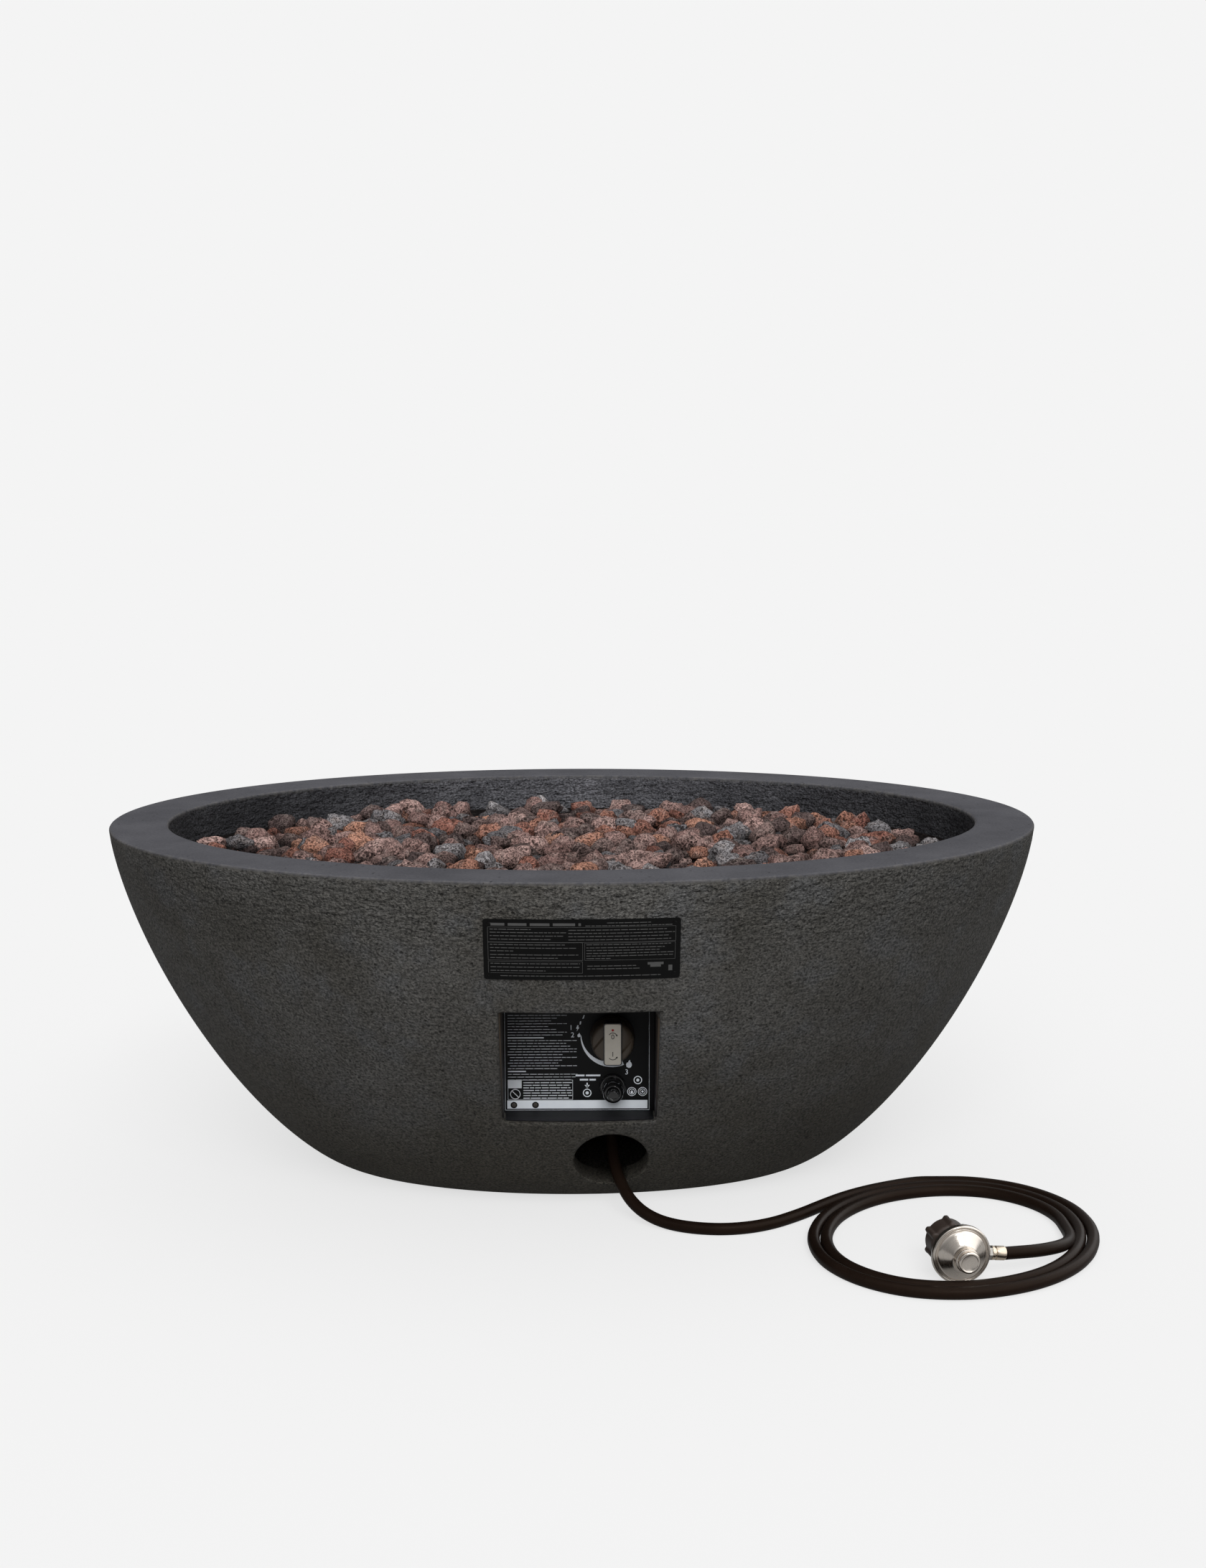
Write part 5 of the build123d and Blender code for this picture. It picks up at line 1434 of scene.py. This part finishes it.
# %% Igniter
IGNITER = Vector((0.0495, PANEL_FACE, 0.1785))
BARREL_CUT = [(0, 0), (16.5, 0), (16.5, 1.2), (15.9, 2.6), (14.6, 3.7), (13.2, 4.0), (13, 8), (13, 12),
              (12.5, 12.4), (12.5, 13.6), (13, 14), (13, 24), (12.3, 27), (10.9, 29), (9.4, 30), (8.3, 30),
              (7.9, 29.2), (7.9, 24), (0, 24)]
barrel = turned("igniter_barrel", BARREL_CUT, IGNITER, (0, -1, 0), FINISHES["igniter_gloss"], corner=0.35)
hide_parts("igniter_housing")
button_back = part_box("igniter_button")[1].y
button_length = (button_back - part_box("igniter_button")[0].y) / MM
button_cut = [(0, 0), (7.3, 0), (7.3, button_length - 2.2), (6.9, button_length - 0.9),
              (5.8, button_length - 0.1), (4.8, button_length), (4.2, button_length - 0.5),
              (2.6, button_length - 0.9), (0, button_length - 1.0)]
button = turned("push_button", button_cut, Vector((IGNITER.x, button_back, IGNITER.z)), (0, -1, 0),
                FINISHES["igniter_gloss"], "button", corner=0.25)
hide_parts("igniter_button")
print("button length", round(button_length, 2), "mm")

# %% [markdown]
# ## The regulator
# The front half of the regulator is pressed from bright plated sheet: a crimped flange with a
# bead, a shallow cone and a short collar with a cap. It is turned with fine steps, because a
# mirror shows every facet. Its finish is brushed in rings round its axis.

# %% Regulator
REGULATOR = Vector((0.443, -0.4495, 0.0347))
REGULATOR_AXIS = Vector((0.17365, -0.98481, 0))
COVER_CUT = [(34.6, 0.4), (34.6, 1.4), (34.5, 2.0), (34.2, 2.6), (33.7, 3.0), (33.1, 3.3), (32.4, 3.4),
             (31.9, 3.2), (31.5, 2.7), (31.1, 2.2), (30.6, 2.0), (30.1, 2.1), (29.7, 2.5), (29.3, 3.3),
             (28.9, 4.0), (28.3, 4.7), (27.5, 5.3), (26.4, 5.9), (22.8, 8.1), (19.2, 10.4), (16.6, 12.1),
             (15.7, 12.8), (15.1, 13.6), (14.7, 14.6), (14.4, 16), (14.2, 19), (14.1, 21), (13.9, 21.5),
             (13.5, 21.9), (12.8, 22)]
CAP_CUT = [(12.8, 22), (12.8, 26.0), (12.7, 26.8), (12.3, 27.4), (11.7, 27.8), (11.0, 28), (10.4, 28),
           (10.0, 27.8), (9.7, 27.4), (9.4, 27.2), (0, 27.2)]


def brushed_ring_finish(name, low, high, centre, axis, roughness):
    """Bright metal whose fine scratches run in rings round an axis."""
    material, tree, shader, where = new_finish(name, Metallic=1.0, Anisotropic=0.2, Anisotropic_Rotation=0.25)
    round_about = put(tree, "Tangent", direction_type="RADIAL", axis="Y").outputs["Tangent"]
    tree.links.new(round_about, shader.inputs["Tangent"])
    turn = Vector(axis).to_track_quat("Z", "Y").inverted()
    aside = turn @ -Vector(centre)
    mapping = put(tree, "Mapping", {"Vector": where, "Rotation": turn.to_euler(), "Location": aside})
    parts = put(tree, "SeparateXYZ", {"Vector": mapping.outputs["Vector"]})
    flat = put(tree, "CombineXYZ", {"X": parts.outputs["X"], "Y": parts.outputs["Y"]})
    radius = put(tree, "VectorMath", {0: flat.outputs["Vector"]}, operation="LENGTH").outputs["Value"]
    rings = put(tree, "CombineXYZ", {"X": radius, "Y": parts.outputs["Z"]})
    lines = noise_value(tree, rings.outputs["Vector"], 2600.0, 2.0)
    clouds = noise_value(tree, where, 60.0, 4.0)
    tree.links.new(blend_colours(tree, clouds, low, high), shader.inputs["Base Color"])
    gloss = spread(tree, lines, 0.3, 0.7, roughness, roughness + 0.14)
    tree.links.new(gloss, shader.inputs["Roughness"])
    join_bump(tree, shader, lines, 0.00003, 0.25)
    return material


BRIGHT_COVER = brushed_ring_finish("Bright cover", paint(228, 218, 207), paint(244, 236, 227), REGULATOR,
                                   REGULATOR_AXIS, 0.15)
cover = turned("regulator_front", COVER_CUT, REGULATOR, REGULATOR_AXIS, BRIGHT_COVER, corner=0)
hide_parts("regulator_cover")
cap = turned("regulator_end_cap", CAP_CUT, REGULATOR, REGULATOR_AXIS, BRIGHT_COVER, corner=0)
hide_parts("regulator_cap")

# %% [markdown]
# ## Soft corners for CAD parts
# Cast and pressed parts such as the back of the regulator and the sleeve on the hose have no
# sharp corners. A copy of the CAD mesh is merged, its flat faces are joined again, and a bevel
# then rounds what is left.

# %% Softened copies
def softened_copy(node, name, width, material):
    """A copy of a CAD part with rounded corners, which stands for it."""
    bm = bmesh.new()
    bm.from_mesh(nodes[node].data)
    bmesh.ops.remove_doubles(bm, verts=bm.verts, dist=1e-6)
    bmesh.ops.dissolve_limit(bm, angle_limit=math.radians(2), verts=bm.verts, edges=bm.edges)
    piece = soften(finish_piece(bm, name, material), width, angle=32)
    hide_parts(node)
    return piece


WARM_NICKEL = plain_finish("Warm nickel", paint(226, 210, 188), paint(240, 227, 209), 0.24, 1.0)
ferrule = softened_copy("regulator_ferrule", "crimped_sleeve", 0.5, WARM_NICKEL)
back = softened_copy("regulator_body", "regulator_back", 0.5, FINISHES["bright_cover"])

# %% [markdown]
# ## The handwheel
# The nut that is screwed on the gas cylinder by hand has six rounded ribs for the fingers. It
# is turned first, as a ring with a socket, and its outer points are then moved outwards round
# each rib, which gives the ribs soft flanks.

# %% Handwheel
WHEEL_CUT = [(7.3, -26.3), (21.2, -26.3), (22.7, -26.8), (23.8, -27.8), (24.4, -29.2), (24.5, -31),
             (24.2, -35), (24.1, -40), (24.2, -45), (24.5, -48.4), (24.4, -50), (23.7, -51.4),
             (22.5, -52.3), (17.2, -52.3), (16.0, -51.8), (15.5, -50.8), (15.5, -41.7), (7.3, -41.7)]
WHEEL_RIBS = 6
RIB_HEIGHT = 3.4
RIB_SPREAD = 7.5
RIB_FOOT = 19


def raise_ribs(bm):
    """Moves the outer points outwards near each rib's angle, in the wheel's own frame."""
    for vert in bm.verts:
        radius = vert.co.xy.length / MM
        if radius > RIB_FOOT:
            turn = math.degrees(math.atan2(vert.co.y, vert.co.x)) % (360 / WHEEL_RIBS)
            off = turn - 180 / WHEEL_RIBS
            rise = RIB_HEIGHT * math.exp(-(off / RIB_SPREAD) ** 4) * min(1.0, (radius - RIB_FOOT) / 3)
            vert.co.xy *= (radius + rise) / radius


def make_wheel():
    """The ribbed wheel on the regulator's axis."""
    bm = bmesh.new()
    spin_cut(bm, WHEEL_CUT, closed=True, steps=180)
    raise_ribs(bm)
    stand(bm, REGULATOR, REGULATOR_AXIS)
    bmesh.ops.recalc_face_normals(bm, faces=bm.faces[:])
    sharpen(bm, 48)
    piece = finish_piece(bm, "ribbed_wheel", FINISHES["wheel_plastic"], "wheel")
    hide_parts("handwheel")
    return piece


wheel = make_wheel()

# %% [markdown]
# ## The stage
# The photograph has an almost white ground with a soft shadow close to the bowl. A wide pale
# floor runs far behind the bowl, and the sky is lit to the same white, so that the two meet
# without a line. The floor glows a little, which keeps the shadow on it faint. Three distant
# lamps light the bowl: a broad one in front does most of it, a narrower faint one gives the
# edges some form, and a very soft one hangs overhead. The front lamp's reflection turned black
# rubber and plastic grey, so it is left out of reflections. A box of light at the right of the
# sky is seen by mirrors only, and gives the bright metal something to show.

# %% Floor, sky and lamps
FLOOR_SIZE = 200.0
WHITE = 0.905
FLOOR_PAINT = 0.28
FLOOR_GLOW = 0.668
GLOW_IN_MIRRORS = 0.2
GLOW_AROUND = 0.05
SKY_TOP = 0.5
SKY_SIDE = 0.1
SIDE_BOX = 1.1


def make_sky():
    """White where the camera sees it; for the light on things, bright overhead and dimmer round about."""
    world = bpy.data.worlds.new("studio")
    bpy.context.scene.world = world
    world.use_nodes = True
    tree = world.node_tree
    direction = put(tree, "TexCoord").outputs["Generated"]
    parts = put(tree, "SeparateXYZ", {"Vector": direction}).outputs
    rays = put(tree, "LightPath").outputs
    light = spread(tree, parts["Z"], 0.0, 0.9, SKY_SIDE, SKY_TOP)
    box = times(tree, spread(tree, parts["X"], 0.3, 0.5), spread(tree, parts["Z"], 0.02, 0.2))
    box = times(tree, box, rays["Is Glossy Ray"])
    light = plus(tree, light, times(tree, box, SIDE_BOX))
    strength = put(tree, "Mix", {0: rays["Is Camera Ray"], 2: light, 3: WHITE}).outputs[0]
    tree.links.new(strength, tree.nodes["Background"].inputs["Strength"])
    tree.nodes["Background"].inputs["Color"].default_value = (1, 1, 1, 1)


def make_stage():
    """Wide pale floor: a paper that glows a little, so that the shadow on it stays faint."""
    material, tree, shader, _ = new_finish("Pale floor", Roughness=1.0, Specular_IOR_Level=0.0)
    shader.inputs["Base Color"].default_value = (FLOOR_PAINT, FLOOR_PAINT, FLOOR_PAINT, 1)
    shader.inputs["Emission Color"].default_value = (1, 1, 1, 1)
    rays = put(tree, "LightPath").outputs
    glow = plus(tree, rays["Is Camera Ray"], times(tree, rays["Is Glossy Ray"], GLOW_IN_MIRRORS))
    glow = plus(tree, glow, times(tree, rays["Is Diffuse Ray"], GLOW_AROUND))
    tree.links.new(times(tree, glow, FLOOR_GLOW), shader.inputs["Emission Strength"])
    bm = bmesh.new()
    bmesh.ops.create_grid(bm, x_segments=2, y_segments=2, size=FLOOR_SIZE / 2)
    mesh = bpy.data.meshes.new("floor")
    bm.to_mesh(mesh)
    bm.free()
    mesh.materials.append(material)
    floor = add_object("floor", mesh)


def soft_sun(name, azimuth, elevation, width, power, mirrored=True):
    """Distant lamp that lights the whole floor alike; its width in degrees softens the shadows."""
    data = bpy.data.lights.new(name, "SUN")
    data.angle = math.radians(width)
    data.energy = power
    lamp = add_object(name, data)
    side, rise = math.radians(azimuth), math.radians(elevation)
    toward = Vector((math.sin(side) * math.cos(rise), -math.cos(side) * math.cos(rise), math.sin(rise)))
    lamp.rotation_euler = toward.to_track_quat("Z", "Y").to_euler()
    lamp.visible_glossy = mirrored


make_sky()
make_stage()
soft_sun("front sun", -4, 33, 36, 1.7, mirrored=False)
soft_sun("key sun", 20, 44, 15, 0.3)
soft_sun("top sun", 20, 80, 60, 0.3)
bpy.context.scene.view_settings.view_transform = "Standard"

# %% Finish
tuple(hose_points[0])
